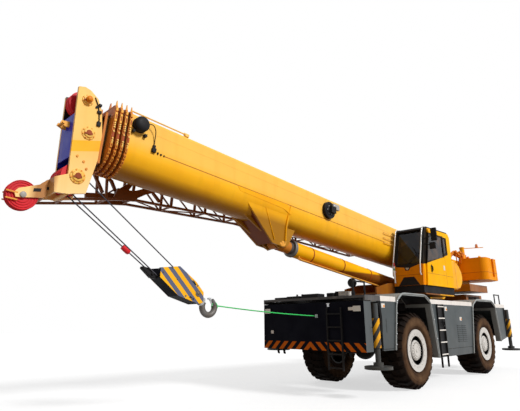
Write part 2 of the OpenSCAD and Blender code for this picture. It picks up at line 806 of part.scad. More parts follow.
// outline of a boom section in its own cross-section plane: flat top, round belly
function belly(h, t, b, rc) = concat(
  [for (i = [0:18]) [-h * cos(i * 10), b + h - h * sin(i * 10)]],
  [for (i = [0:4]) [h - rc + rc * cos(i * 22.5), t - rc + rc * sin(i * 22.5)]],
  [for (i = [0:4]) [-h + rc - rc * sin(i * 22.5), t - rc + rc * cos(i * 22.5)]]);

// outline of section number i, grown by d
function outline(i, d) = belly(boom_half - i * boom_step + d, boom_top - i * boom_step + d,
                               -boom_bot + i * boom_step - d, max(60 - i * 8 + d, 12));

// cross-section outline extruded along the boom
module along(u0, u1) {
  translate([u0, 0, 0]) rotate([90, 0, 90]) linear_extrude(u1 - u0) children();
}

// hollow section i with its collar, and the pads that carry the next section
module boom_tube(i, u0, u1, collar_u) {
  difference() {
    union() {
      along(u0, u1) polygon(outline(i, 0));
      if (collar_u > 0) {
        along(collar_u, collar_u + collar_t) polygon(outline(0, 15));
        both_sides() slab([[collar_u, boom_top], [collar_u + collar_t, boom_top],
                           [collar_u + collar_t / 2 + 6, boom_top + fin_h],
                           [collar_u + collar_t / 2 - 6, boom_top + fin_h]],
                          150, 180);
      }
    }
    along(u0 - 1, u1 + 1) polygon(outline(i, -boom_t));
  }
  along(u1 - 160, u1) intersection() {
    difference() {
      polygon(outline(i, -boom_t + 1));
      polygon(outline(i + 1, seat_gap));
    }
    translate([-140, -2000]) square([280, 2000 + boom_top - 300]);
  }
}

// pad on top of the rear end of section i that runs inside the section around it
module tail_pad(i, u0) {
  along(u0, u0 + 150)
    translate([-150, boom_top - i * boom_step - 1])
      square([300, boom_step - boom_t - seat_gap + 1]);
}

// leaning plate from the boom's side down to the rod pin
module wedge_plate() {
  outer = [[wedge_front, boom_half + 2, wedge_top], [wedge_rear, boom_half + 2, wedge_top],
           [rod_pin_u - 90, eye_half + 112, -rod_pin_w - 120],
           [rod_pin_u + 330, eye_half + 112, -rod_pin_w - 100]];
  polyhedron(concat(outer, [for (q = outer) q - [0, 40, 0]]),
             [[0, 1, 2], [0, 2, 3], [4, 7, 6], [4, 6, 5],
              [4, 5, 1, 0], [5, 6, 2, 1], [6, 7, 3, 2], [7, 4, 0, 3]]);
}

module boom_base() {
  color("Gold") machine() on_boom() difference() {
    union() {
      boom_tube(0, -350, base_end, base_end - collar_t);
      both_sides() {
        cyl_y(0, 0, foot_r + 80, boom_half - 5, boom_half + 34);
        slab([[rod_pin_u - 260, -rod_pin_w - 40], [rod_pin_u + 20, -rod_pin_w - 170],
              [rod_pin_u + 220, -rod_pin_w - 60],
              [rod_pin_u + 1250, -boom_bot + 60], [rod_pin_u + 1250, -boom_bot + 200],
              [rod_pin_u - 500, -boom_bot + 200], [rod_pin_u - 500, -boom_bot + 60]],
             eye_half + 12, eye_half + 52);
        cyl_y(rod_pin_u, -rod_pin_w, 130, eye_half + 12, eye_half + 112);
        wedge_plate();
      }
    }
    cyl_y(0, 0, foot_r + pin_gap, -boom_half - 60, boom_half + 60);
    along(-400, base_end + 10) polygon(outline(0, -boom_t));
  }
}

module section_2() {
  color("Gold") machine() on_boom() {
    boom_tube(1, 250, base_end + collar_pitch, base_end + collar_pitch - collar_t);
    tail_pad(1, 250);
  }
}

module section_3() {
  color("Gold") machine() on_boom() {
    boom_tube(2, 350, base_end + 2 * collar_pitch, base_end + 2 * collar_pitch - collar_t);
    tail_pad(2, 350);
  }
}

module section_4() {
  color("Gold") machine() on_boom() {
    boom_tube(3, 450, base_end + 3 * collar_pitch, base_end + 3 * collar_pitch - collar_t);
    tail_pad(3, 450);
  }
}

module section_5() {
  color("Gold") machine() on_boom() {
    difference() {
      union() {
        along(550, head_u + 20) polygon(outline(4, 0));
        bx(head_u - 20, head_u + 20, -head_y - 55, head_y + 55, -300, 650);
      }
      along(549, head_u + 21) polygon(outline(4, -boom_t));
    }
    tail_pad(4, 550);
  }
}

head_plate = [[head_u + 545, 903], [head_u + 440, 940], [head_u + 336, 918], [head_u + 190, 820],
              [head_u + 90, 616], [head_u + 20, 209], [head_u + 20, -256], [head_u + 115, -874],
              [head_u + 422, -963]];
// arm that carries the nose sheave, and the lug on the head plate that it starts from
nose_arm = [[head_u + 560, -705], [head_u + 670, -768], [head_u + 748, -864], [head_u + 1040, -1010],
            [head_u + 1085, -1080], [head_u + 1050, -1151], [head_u + 676, -1065], [head_u + 540, -960]];
nose_lug = [[head_u + 380, -640], [head_u + 450, -640], [head_u + 640, -745], [head_u + 600, -985],
            [head_u + 353, -950]];

module boom_head() {
  color("Gold") machine() on_boom() {
    both_sides() {
      slab(head_plate, head_y, head_y + 50);
      slab(nose_lug, head_y, head_y + 50);
      slab(nose_arm, nose_y, nose_y + 26);
    }
    slab([[head_u + 575, -715], [head_u + 640, -745], [head_u + 600, -985], [head_u + 530, -955]],
         -head_y - 1, head_y + 1);
    cyl_y(head_u + 400, -950, 30, -head_y - 1, head_y + 1);
    slab([[head_u + 428, -330], [head_u + 458, -330], [head_u + 515, 430], [head_u + 485, 430]],
         -head_y - 1, head_y + 1);
  }
}

// row of n grooved rope sheaves on one shaft along Y
module sheave_row(p, r, n, w, shaft_half) {
  translate([p[0], -n * w / 2, p[1]]) rotate([-90, 0, 0]) rotate_extrude($fn = 64)
    polygon(concat([[0, 0]], [for (i = [0:n - 1]) each [[r, i * w + 4], [r - groove, i * w + w / 2 - rope_r - 1],
      [r - groove, i * w + w / 2 + rope_r + 1], [r, i * w + w - 4]]], [[0, n * w]]));
  cyl_y(p[0], p[1], 60, -shaft_half, shaft_half);
}

module head_sheaves() {
  color("Crimson") machine() on_boom() {
    sheave_row(low_sheave, low_sheave_r, 5, 90, head_y);
    sheave_row(top_sheave, top_sheave_r, 2, 90, head_y);
    sheave_row(nose_sheave, nose_sheave_r, 1, 110, nose_y);
  }
}

// height of the jib's lower chord, and the node that ends bay i of nine
function jib_floor(u) = lookup(u, jib_low);
function jib_node(i) = jib_rear + (jib_mid - jib_rear) * i / 9;

// flat bar of the jib from p to q in the side view
module jib_strut(p, q, half, y0, y1) {
  slab([p - [half, 0], p + [half, 0], q + [half, 0], q - [half, 0]], y0, y1);
}

// one side of the jib: chords, posts and diagonals, then the front end that droops beside the boom head
module jib_side(y) {
  y1 = y + jib_t;
  for (i = [0:2])
    slab([jib_low[i], jib_low[i + 1], jib_low[i + 1] + [0, jib_t], jib_low[i] + [0, jib_t]], y, y1);
  bx(jib_rear, jib_mid, y, y1, jib_high - jib_t, jib_high);
  for (i = [0:9])
    jib_strut([jib_node(i), jib_floor(jib_node(i)) + 8], [jib_node(i), jib_high - 5], jib_t / 2, y, y1);
  for (i = [0:8])
    jib_strut([jib_node(i) + 20, jib_floor(jib_node(i)) + 12], [jib_node(i + 1) - 20, jib_high - 10],
              18, y + 6, y1 - 6);
  slab([[jib_mid - 20, jib_high], [jib_mid + 900, -120], [jib_mid + 930, -185],
        [jib_mid - 20, jib_high - 60]], y, y1);
  jib_strut([jib_mid + 1270, jib_floor(jib_mid + 1270) + 12], [jib_mid + 890, -150], 30, y, y1);
  jib_strut([jib_mid + 520, jib_floor(jib_mid + 520) + 12], [jib_mid + 590, 0], 20, y, y1);
  slab([[jib_mid - 110, -478], [jib_mid + 400, -590], [jib_mid + 330, -330], [jib_mid - 60, -290]], y, y1);
}

module fly_jib() {
  color("Peru") machine() on_boom() {
    jib_side(jib_y);
    jib_side(-jib_in - jib_t);
    for (u = [jib_rear, jib_node(4) - jib_t / 2, jib_mid - jib_t])
      bx(u, u + jib_t, jib_y + 1, -boom_half, jib_high - jib_t, jib_high);
    for (u = concat([for (i = [0:9]) jib_node(i)], [jib_mid + 520, jib_mid + 1270, jib_front - 40]))
      bx(u - 16, u + 16, jib_y + 1, -jib_in - 1, jib_floor(u) + 8, jib_floor(u) + 38);
    for (i = [0:8])
      bar([jib_node(i), i % 2 == 0 ? jib_y + 25 : -jib_in - 25, jib_floor(jib_node(i)) + 22],
          [jib_node(i + 1), i % 2 == 0 ? -jib_in - 25 : jib_y + 25, jib_floor(jib_node(i + 1)) + 22], 14);
  }
}

module cable_reels() {
  color("DimGray") machine() on_boom() {
    cyl_y(base_end - collar_t - drum_r - 20, 570, drum_r, boom_half, boom_half + 130);
    cyl_y(reel_u, 430, 215, boom_half, boom_half + 90);
    bx(reel_u - 130, reel_u + 60, boom_half + 89, boom_half + 190, 350, 520);
  }
}

// Hook, drawn about the axis of the lower head sheaves

module at_hook() {
  machine() on_boom() translate([low_sheave[0], 0, low_sheave[1]]) rotate([0, boom_angle, 0]) children();
}

// point at distance d along the ropes and n across them
function rope_pt(d, n, y) = [-d * cos(rope_angle) - n * sin(rope_angle), y,
                             -d * sin(rope_angle) + n * cos(rope_angle)];
// point at distance d along the block from its upper end and n across it
function block_pt(d, n, y) = rope_pt(rope_len, 0, 0)
  + [-d * cos(block_angle) - n * sin(block_angle), y, -d * sin(block_angle) + n * cos(block_angle)];

module hoist_ropes() {
  color("DimGray") at_hook()
    for (q = [[-1, 2, 1], [-1, 0, -1], [1, 0, 1]])
      bar(rope_pt(0, q[0] * (low_sheave_r - groove + rope_r + 2 * seat_gap), q[1] * 90),
          block_pt(240, q[0] * (block_sheave_r - groove + rope_r + 2 * seat_gap), q[2] * 42), rope_r);
}

// everything measured along the hook block from its upper end
module on_block() {
  at_hook() translate(block_pt(0, 0, 0)) rotate([0, -block_angle, 0]) mirror([1, 0, 0]) children();
}

module hook_block() {
  color("Gold") on_block() {
    both_sides()
      slab([[-170, -20], [170, 230], [640, 185], [890, 105],
            [975, -65], [900, -140], [420, -250], [-90, -175]],
           block_half - 50, block_half);
    slab([[-90, -175], [420, -250], [900, -140], [900, -120], [420, -231], [-90, -157]],
         -block_half + 49, block_half - 49);
    sheave_row([240, 0], block_sheave_r, 5, 42, block_half - 49);
    bx(560, 700, -block_half + 49, block_half - 49, -180, 155);
  }
}

module hook() {
  color("Gray") on_block() {
    cyl_y(820, 0, 80, -block_half + 50, block_half - 50);
    cyl_x(0, 0, 55, 820, 1090);
    translate([hook_d, 0, 0]) rotate([90, 0, 0]) {
      rotate([0, 0, 175]) rotate_extrude(angle = 225) translate([hook_r, 0]) circle(r = 60);
      rotate([0, 0, 399]) rotate_extrude(angle = 45) translate([hook_r, 0]) circle(r = 44);
    }
  }
}

// Luffing cylinder

module luff_barrel() {
  color("Gold") machine() on_cylinder() difference() {
    union() {
      cyl_x(0, 0, barrel_r, base_pin_r + 80 + 2 * run_gap, barrel_len);
      cyl_y(0, 0, barrel_r, -eye_half, eye_half);
    }
    cyl_x(0, 0, luff_rod_r + 14, 240, barrel_len - 140);
    cyl_x(0, 0, luff_rod_r + pin_gap, 239, barrel_len + 1);
    cyl_y(0, 0, base_pin_r + pin_gap, -eye_half - 1, eye_half + 1);
  }
}

module luff_rod() {
  color("Silver") machine() on_cylinder() {
    cyl_x(0, 0, luff_rod_r, 420, rod_len0 - 100);
    cyl_x(0, 0, luff_rod_r + 14 - pin_gap, 420, 620);
    cyl_y(rod_len0, 0, 145, -eye_half + 40, eye_half - 40);
  }
}

chassis_frame();
front_plate();
deck();
side_panels();
wheel_arches();
rear_body();
engine_hood();
engine_block();
axles();
ladders();
handrails();
lamps();
slew_ring();
knuckle_fl();
knuckle_fr();
knuckle_rl();
knuckle_rr();
tyre_fl();
tyre_fr();
tyre_rl();
tyre_rr();
rim_fl();
rim_fr();
rim_rl();
rim_rr();
beam_fl();
beam_fr();
beam_rl();
beam_rr();
jack_fl();
jack_fr();
jack_rl();
jack_rr();
turntable();
counterweight();
winches();
cab_shell();
cab_glass();
cab_base();
cab_seat();
cab_mirrors();
cab_door();
door_glass();
boom_base();
fly_jib();
cable_reels();
section_2();
section_3();
section_4();
section_5();
boom_head();
head_sheaves();
hoist_ropes();
hook_block();
hook();
luff_barrel();
luff_rod();
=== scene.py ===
# %% [markdown]
# # A rough-terrain crane, dressed in Blender
# The packed CAD model is a fixed frame: 57 meshes on the bodies that move them. This lesson gives each
# of them a finish worked out by nodes, puts finer surfaces in place of the tyres and mirrors, and adds
# what a CAD source leaves out: tubes, cables, seams, bolts, louvres and lamps, as numpy surfaces.

# %% Load the frame
import math

import bmesh
import bpy
import numpy as np
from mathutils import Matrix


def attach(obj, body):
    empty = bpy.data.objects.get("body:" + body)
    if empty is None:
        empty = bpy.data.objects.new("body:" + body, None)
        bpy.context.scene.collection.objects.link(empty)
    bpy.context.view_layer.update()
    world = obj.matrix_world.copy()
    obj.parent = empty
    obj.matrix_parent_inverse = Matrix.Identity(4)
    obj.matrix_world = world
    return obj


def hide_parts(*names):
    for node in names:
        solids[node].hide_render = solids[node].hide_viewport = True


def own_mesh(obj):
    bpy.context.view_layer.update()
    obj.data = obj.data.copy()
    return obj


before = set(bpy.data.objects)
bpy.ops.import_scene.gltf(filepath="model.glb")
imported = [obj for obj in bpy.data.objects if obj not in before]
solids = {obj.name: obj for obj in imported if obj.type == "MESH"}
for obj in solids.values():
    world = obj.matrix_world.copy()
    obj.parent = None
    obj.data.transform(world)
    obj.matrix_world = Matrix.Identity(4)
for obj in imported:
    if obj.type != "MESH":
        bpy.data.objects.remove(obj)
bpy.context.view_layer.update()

# %% [markdown]
# ## Where things are
# The source measures the machine from the slewing axis, and everything on the boom from its foot
# pin, in millimetres. Small functions turn those numbers into metres in the shared frame, so a piece
# can be placed with the same numbers as the solid that carries it.

# %% Places on the machine and on the boom
SLEW_X = -3.490
FOOT = np.array([SLEW_X - 2.350, 0.0, 3.450])
TILT = math.radians(4.7)
HEAD = 13120
ACROSS, UPWARD = (0, 1, 0), (0, 0, 1)


def metres(*lengths):
    """Lengths in millimetres, numbers or arrays, as arrays of one shape in metres."""
    return np.broadcast_arrays(*(np.asarray(v, float) / 1000 for v in lengths))


def at(x, y, z):
    """Millimetres from the slewing axis to metres in the frame: x is shifted, y and z are kept."""
    x, y, z = metres(x, y, z)
    return np.stack([x + SLEW_X, y, z], -1)


def on_boom(u, y, w):
    """Millimetres along, across and above the boom: foot pin + u * (cos, sin) + w * (-sin, cos)."""
    u, y, w = metres(u, y, w)
    x = u * math.cos(TILT) - w * math.sin(TILT)
    z = u * math.sin(TILT) + w * math.cos(TILT)
    return FOOT + np.stack([x, y, z], -1)


print("boom head at", on_boom(HEAD, 0, 0).round(3))

# %% [markdown]
# ## Camera
# The photograph was taken from the front left, low down, with the camera pitched up. Fitting known
# points of the machine to their pixels gave this place, this direction and this focal length.

# %% Camera at the photograph's view
EYE = [10.339, 7.108, 1.630]
FOCAL_PIXELS, PHOTO_WIDTH, SENSOR = 446.28, 520, 36.0
yaw, pitch, roll = math.radians(224.714), math.radians(14.794), -0.0069
forward = np.array([math.cos(yaw) * math.cos(pitch), math.sin(yaw) * math.cos(pitch), math.sin(pitch)])
level = np.array([math.sin(yaw), -math.cos(yaw), 0.0])
right = level + roll * np.cross(level, forward)
right /= np.linalg.norm(right)
eye = bpy.data.objects.new("eye", bpy.data.cameras.new("eye"))
bpy.context.scene.collection.objects.link(eye)
eye_pose = np.eye(4)
eye_pose[:3] = np.stack([right, np.cross(right, forward), -forward, EYE], -1)
eye.matrix_world = eye_pose.T.tolist()
eye.data.sensor_fit = "HORIZONTAL"
eye.data.sensor_width = SENSOR
eye.data.lens = FOCAL_PIXELS / PHOTO_WIDTH * SENSOR
eye.data.clip_end = 200.0
bpy.context.scene.camera = eye
print("lens", round(eye.data.lens, 2), "mm")

# %% [markdown]
# ## Shapes as arrays
# Every added piece is one of a few surfaces: a profile carried along a path, an outline given a
# thickness, a profile turned about an axis, or boxes. All but the boxes are grids of points joined by
# quads, and most need a circle or two directions square to an axis, so these come first.

# %% Grids, directions and circles


def grid_faces(n, m, ring_n=False, ring_m=False):
    """Quads of an n by m grid of points; a ring joins its last line to its first."""
    rows = np.arange(n if ring_n else n - 1)
    columns = np.arange(m if ring_m else m - 1)
    i, j = np.meshgrid(rows, columns, indexing="ij")
    k, l = (i + 1) % n, (j + 1) % m
    return np.stack([i * m + j, k * m + j, k * m + l, i * m + l], -1).reshape(-1, 4)


def square_to(axis):
    """Two unit directions that are square to a unit axis and to each other."""
    seed = np.array([0, 0, 1.0]) if abs(axis[2]) < 0.9 else np.array([1.0, 0, 0])
    side = np.cross(seed, axis)
    side /= np.linalg.norm(side)
    return side, np.cross(axis, side)


def circle(n, start=0.0):
    """Cosines and sines of n even steps round a circle from a start angle."""
    a = start + np.arange(n) * 2 * math.pi / n
    return np.cos(a), np.sin(a)


print("a grid of 3 by 4 points has", len(grid_faces(3, 4)), "quads")

# %% [markdown]
# ## Round bars
# Rails, hoses, cables and ropes are circles carried along a path. A real tube is bent, not folded, so the
# corners of its path become arcs first. Each function returns a shell, which is points and faces, so that
# many small things can be joined into one mesh before it goes to Blender.

# %% Bars, pipes and hoops


def rod(path, r, sides=10, ring=False):
    """A round bar: a circle of radius r carried along a path (n, 3), point + r cos * side + r sin * top,
    where side and top turn from one step to the next by the least rotation. Open ends get a flat cap."""
    path = np.asarray(path, float)
    step = np.roll(path, -1, 0) - np.roll(path, 1, 0) if ring else np.gradient(path, axis=0)
    step /= np.linalg.norm(step, axis=1)[:, None]
    side = [square_to(step[0])[0]]
    for way in step[1:]:
        side.append(side[-1] - way * (side[-1] @ way))
    side = np.array(side)
    side /= np.linalg.norm(side, axis=1)[:, None]
    top = np.cross(step, side)
    c, s = circle(sides)
    pts = path[:, None] + r * c[:, None] * side[:, None] + r * s[:, None] * top[:, None]
    n = len(path)
    faces = grid_faces(n, sides, ring, True)[:, ::-1].tolist()
    if not ring:
        faces += [list(range(sides)), list(range(n * sides - 1, (n - 1) * sides - 1, -1))]
    return pts.reshape(-1, 3), faces


def bent(points, bend, n=5):
    """A path through corner points, each corner replaced by a quadratic arc that starts a bend before it."""
    p = np.asarray(points, float)
    out = [p[0]]
    t = np.linspace(0, 1, n)[:, None]
    for a, b, c in zip(p[:-2], p[1:-1], p[2:]):
        start, end = (b + (q - b) * min(bend / np.linalg.norm(q - b), 0.45) for q in (a, c))
        out.extend((1 - t) ** 2 * start + 2 * t * (1 - t) * b + t ** 2 * end)
    out.append(p[-1])
    return np.array(out)


def pipe(x, y, z, bend, r, sides=10, place=at):
    """A round bar through corner points in millimetres, its corners eased over a length in metres."""
    return rod(bent(place(x, y, z), bend), r, sides)


def hoop(a, y, b, r_a, r_b, thick, n=24, sides=8, place=at):
    """A closed round bar across the machine: place(a + r_a * cos, y, b + r_b * sin)."""
    c, s = circle(n)
    return rod(place(a + r_a * c, y, b + r_b * s), thick, sides, True)


print("a pipe with one bend has", len(pipe([0, 0, 90], 0, [0, 90, 90], 0.03, 0.01)[0]), "points")

# %% [markdown]
# ## Plates and turned shapes
# A plate is an outline given a thickness, and a cover or a boss is a profile turned about its pin. Both are
# rings of points, joined one to the next and closed at the ends by a flat face.

# %% Plates and turned shapes


def capped(rings):
    """A tube through rings of points (n, m, 3): quads from ring to ring and a flat face on both ends."""
    rings = np.asarray(rings)
    n, m = rings.shape[:2]
    ends = [list(range(m)), list(range(n * m - 1, (n - 1) * m - 1, -1))]
    return rings.reshape(-1, 3), grid_faces(n, m, False, True).tolist() + ends


def joined(shells):
    """Many shells as one: their points in a row, their faces counted on from the points before."""
    start = np.cumsum([0] + [len(p) for p, _ in shells])
    faces = [[int(s) + k for k in face] for s, (_, f) in zip(start, shells) for face in f]
    return np.concatenate([p for p, _ in shells]), faces


def cut_plate(outline, low, high, place=at):
    """An outline (a, b) given a thickness across the machine, from place(a, low, b) to place(a, high, b)."""
    a, b = np.asarray(outline, float).T
    return capped([place(a, low, b), place(a, high, b)])


def turned(profile, centre, axis=ACROSS, n=32):
    """A profile (height, radius) turned about an axis: centre + height * axis + radius * (cos, sin)."""
    profile, axis = np.asarray(profile, float), np.asarray(axis, float) / np.linalg.norm(axis)
    side, top = square_to(axis)
    c, s = circle(n)
    ring = c[:, None] * side + s[:, None] * top
    return capped(np.asarray(centre) + profile[:, :1, None] * axis + profile[:, 1:, None] * ring)


print("a turned ring has", len(turned([(0, 0.1), (0.02, 0.1)], FOOT)[1]), "faces")

# %% [markdown]
# ## Bolts and boxes
# A bolt's head is a short prism, and many fittings are boxes. A pattern of them is one array, so a hundred
# cost as little typing as one. The machine is nearly the same on both sides, so shells can be mirrored.

# %% Bolts and boxes
CORNERS = np.array([[0, 0, 0], [1, 0, 0], [1, 1, 0], [0, 1, 0], [0, 0, 1], [1, 0, 1], [1, 1, 1], [0, 1, 1]])
BOX_FACES = np.array([[0, 3, 2, 1], [4, 5, 6, 7], [0, 1, 5, 4], [1, 2, 6, 5], [2, 3, 7, 6], [3, 0, 4, 7]])


def bolts(centres, axis, radius, height, sides=6):
    """Prisms on many centres: centre + radius * (cos, sin) across the axis, and the same a height further."""
    axis = np.asarray(axis, float) / np.linalg.norm(axis)
    side, top = square_to(axis)
    c, s = circle(sides)
    feet = np.atleast_2d(centres)[:, None] + radius * (c[:, None] * side + s[:, None] * top)
    return joined([capped([foot, foot + height * axis]) for foot in feet])


def bolt_ring(a, y, b, r, n, radius, height, place=at, axis=ACROSS, start=0.0):
    """Bolts on a circle across the machine: place(a + r * cos, y, b + r * sin)."""
    c, s = circle(n, start)
    return bolts(place(a + r * c, y, b + r * s), axis, radius, height)


def box_faces(count):
    """The six quads of each of many boxes of eight corners."""
    return (BOX_FACES + 8 * np.arange(count)[:, None, None]).reshape(-1, 4).tolist()


def block(low, high, place=at):
    """Boxes between corners in millimetres, one or many rows: place(low + (high - low) * corner)."""
    low, high = np.atleast_2d(low).astype(float), np.atleast_2d(high).astype(float)
    corners = (low[:, None] + (high - low)[:, None] * CORNERS).reshape(-1, 3)
    return place(*corners.T), box_faces(len(low))


def both(shells):
    """Shells and their mirror images across the machine: y becomes -y."""
    return list(shells) + [(p * [1, -1, 1], f) for p, f in shells]


print("three boxes have", len(box_faces(3)), "faces")

# %% [markdown]
# ## From shells to a piece
# A piece is one mesh at the origin that rides on a body of the frame. Its normals are made to point out,
# its soft edges are shaded smooth up to an angle, and a bevel eases the edges that would be eased in steel.

# %% Make a piece
EASED_OVER = math.radians(40)


def piece(name, shells, body, finish, smooth=40, bevel=0.0):
    """Joins shells into one mesh, dresses it in a finish and lets it ride on a body."""
    points, faces = joined(shells)
    mesh = bpy.data.meshes.new(name)
    mesh.from_pydata(points.tolist(), [], faces)
    shell = bmesh.new()
    shell.from_mesh(mesh)
    bmesh.ops.recalc_face_normals(shell, faces=shell.faces)
    shell.to_mesh(mesh)
    shell.free()
    mesh.polygons.foreach_set("use_smooth", np.full(len(mesh.polygons), smooth > 0))
    if smooth > 0:
        mesh.set_sharp_from_angle(angle=math.radians(smooth))
    mesh.materials.append(finish)
    obj = bpy.data.objects.new(name, mesh)
    bpy.context.scene.collection.objects.link(obj)
    if bevel:
        edge = obj.modifiers.new("eased edges", "BEVEL")
        edge.width = bevel
        edge.segments = 2
        edge.limit_method = "ANGLE"
        edge.angle_limit = EASED_OVER
    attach(obj, body)
    print(name, "on", body, len(mesh.polygons), "faces")
    return obj


# %% [markdown]
# ## Finishes
# Paint on a working machine is never one colour: it fades in patches, carries dust on its lower
# parts and has a faint ripple. A finish here is a tree of nodes. So that the tree reads like a formula,
# a value from a node can be added, multiplied and mapped in Python, and each step adds its node.

# %% Values made of nodes


def linear(r, g, b):
    """An sRGB colour of 0 to 255 as linear light."""
    c = np.array([r, g, b]) / 255
    return tuple(np.where(c <= 0.04045, c / 12.92, ((c + 0.055) / 1.055) ** 2.4)) + (1.0,)


class Value:
    """A number or colour that nodes work out at every point of a surface."""

    def __init__(self, finish, socket):
        self.finish = finish
        self.socket = socket

    def math(self, kind, *others):
        """One step of arithmetic, by a Math node."""
        node = self.finish.add("ShaderNodeMath", operation=kind)
        for socket, value in zip(node.inputs, (self,) + others):
            self.finish.put(socket, value)
        return Value(self.finish, node.outputs[0])

    def __add__(self, other):
        return self.math("ADD", other)

    def __sub__(self, other):
        return self.math("SUBTRACT", other)

    def __mul__(self, other):
        return self.math("MULTIPLY", other)

    def __abs__(self):
        return self.math("ABSOLUTE")

    def span(self, low, high, to_low=0.0, to_high=1.0):
        """Maps low..high to to_low..to_high and stops at both ends."""
        node = self.finish.add("ShaderNodeMapRange")
        settings = {"Value": self, "From Min": low, "From Max": high, "To Min": to_low, "To Max": to_high}
        for key, value in settings.items():
            self.finish.put(node.inputs[key], value)
        return Value(self.finish, node.outputs[0])

    def fall(self, low, high):
        """1 below low, 0 above high."""
        return self.span(low, high, 1.0, 0.0)


print("mid grey in linear light:", linear(128, 128, 128)[0].round(3))

# %% [markdown]
# ## A material and its nodes
# A finish holds one Principled material and adds the nodes that feed it: noise, blends of colours and
# bump. All of it reads Object coordinates, which are metres in the shared frame, so every solid gets the same
# scale of detail and a pattern runs on from one solid to the next.

# %% Finishes made of nodes


class Finish:
    """A Principled material with short calls for the nodes that feed it."""

    def __init__(self, name, shine=None):
        self.mat = bpy.data.materials.new(name)
        self.mat.use_nodes = True
        self.tree = self.mat.node_tree
        self.shader = self.tree.nodes["Principled BSDF"]
        self.where = Value(self, self.add("ShaderNodeTexCoord").outputs["Object"])
        if shine is not None:
            self.shader.inputs["Specular IOR Level"].default_value = shine

    def add(self, kind, **settings):
        """A new node with its settings."""
        node = self.tree.nodes.new(kind)
        for key, value in settings.items():
            setattr(node, key, value)
        return node

    def put(self, socket, value):
        """Links a value to a socket, or sets a constant on it."""
        if isinstance(value, Value):
            self.tree.links.new(value.socket, socket)
        else:
            socket.default_value = value

    def axis(self, name):
        """X, Y or Z of the point, in metres."""
        node = self.add("ShaderNodeSeparateXYZ")
        self.put(node.inputs[0], self.where)
        return Value(self, node.outputs[name])

    def noise(self, scale, detail=4.0, stretch=(1, 1, 1)):
        """Noise of a given scale per metre, stretched by the three factors."""
        mapping = self.add("ShaderNodeMapping")
        mapping.inputs["Scale"].default_value = stretch
        self.put(mapping.inputs["Vector"], self.where)
        node = self.add("ShaderNodeTexNoise")
        node.inputs["Scale"].default_value = scale
        node.inputs["Detail"].default_value = detail
        self.put(node.inputs["Vector"], Value(self, mapping.outputs[0]))
        return Value(self, node.outputs[0])

    def blend(self, amount, a, b):
        """Colour a at 0, colour b at 1. A mix of colours has its sockets at places 0, 6 and 7, and 2."""
        node = self.add("ShaderNodeMix", data_type="RGBA")
        for place, value in zip((0, 6, 7), (amount, a, b)):
            self.put(node.inputs[place], value)
        return Value(self, node.outputs[2])

    def ripple(self, height, strength, distance=0.002):
        """Bump from a height."""
        node = self.add("ShaderNodeBump")
        node.inputs["Strength"].default_value = strength
        node.inputs["Distance"].default_value = distance
        self.put(node.inputs["Height"], height)
        self.put(self.shader.inputs["Normal"], Value(self, node.outputs[0]))

    def done(self, colour, rough, metallic=0.0, coat=0.0):
        """Feeds the shader and returns the material."""
        self.put(self.shader.inputs["Base Color"], colour)
        self.put(self.shader.inputs["Roughness"], rough)
        self.shader.inputs["Metallic"].default_value = metallic
        self.shader.inputs["Coat Weight"].default_value = coat
        return self.mat


print("a finish can add:", ", ".join(name for name in vars(Finish) if not name.startswith("_")))

# %% [markdown]
# ## Machine paint
# Nearly every part wears the same kind of paint, so one function makes it. It mixes two close colours
# with large noise, lets grime run down the sides, lays dust that thickens downwards, and sends the same
# noise to roughness. Glossy paint keeps a thin coat; matt paint has none and reflects less.

# %% Paint function
DUST = (150, 132, 112)
GLOSSY, MATT = 0.14, 0.05


def paint(name, bright, faded, dust, heights=(0.4, 2.2), most=0.5, rough=(0.32, 0.5), coat=0.04,
          pattern=None, over=False):
    """Patches of two close colours, runs of grime, and dust that is most at the lower of two heights. A
    pattern may lay stripes on the colours, under the grime or over it. Colours are sRGB, 0 to 255."""
    f = Finish(name, GLOSSY if coat else MATT)
    faded = linear(*faded)
    colour = f.blend(f.noise(0.9, 5).span(0.35, 0.7), linear(*bright), faded)
    if pattern and not over:
        colour = pattern(f, colour)
    runs = f.noise(5.0, 6, (1, 1, 0.12)).span(0.52, 0.75, 0.0, 0.18)
    colour = f.blend(runs, colour, tuple(0.6 * v for v in faded[:3]) + (1.0,))
    laid = f.axis("Z").span(*heights, most, 0.04) * f.noise(7.0, 8).span(0.3, 0.75)
    colour = f.blend(laid, colour, linear(*dust))
    if over:
        colour = pattern(f, colour)
    f.ripple(f.noise(60.0, 3), 0.06)
    worn = f.noise(3.0, 6).span(0.3, 0.7, *rough) + laid * 0.35
    return f.done(colour, worn, coat=coat)


print("paint reflects", GLOSSY, "with a coat and", MATT, "without")

# %% [markdown]
# ## Striped and banded paint
# The front plate carries slanted warning stripes that meet in the middle, the jack sleeves are
# banded, and the hook block is striped along its length. A stripe is a saw wave: add two coordinates,
# divide by the pitch, keep the fraction, and compare it with a half.

# %% Stripe patterns
BLOCK_ACROSS = (0.72, -0.694)


def saw_stripes(phase, pitch, share=0.5):
    """1 where the fraction of phase / pitch is under share, else 0, with a soft edge."""
    return phase.math("DIVIDE", pitch).math("FRACT").fall(share - 0.02, share + 0.02)


def plate_chevrons(f, colour):
    """Orange stripes leaning to the middle: z + |y| in steps, only in the band at the foot of the plate; the
    orange is the stripes' yellow in painted shade. The plate's returned edges, behind its face, are grey."""
    x, z = f.axis("X"), f.axis("Z")
    bars = saw_stripes(z + abs(f.axis("Y")), 0.27)
    band = z.fall(1.185, 1.195) * x.span(1.44, 1.45)
    face = f.blend(bars * band, colour, linear(214, 104, 22))
    return f.blend(x.span(1.452, 1.456), linear(96, 101, 103), face)


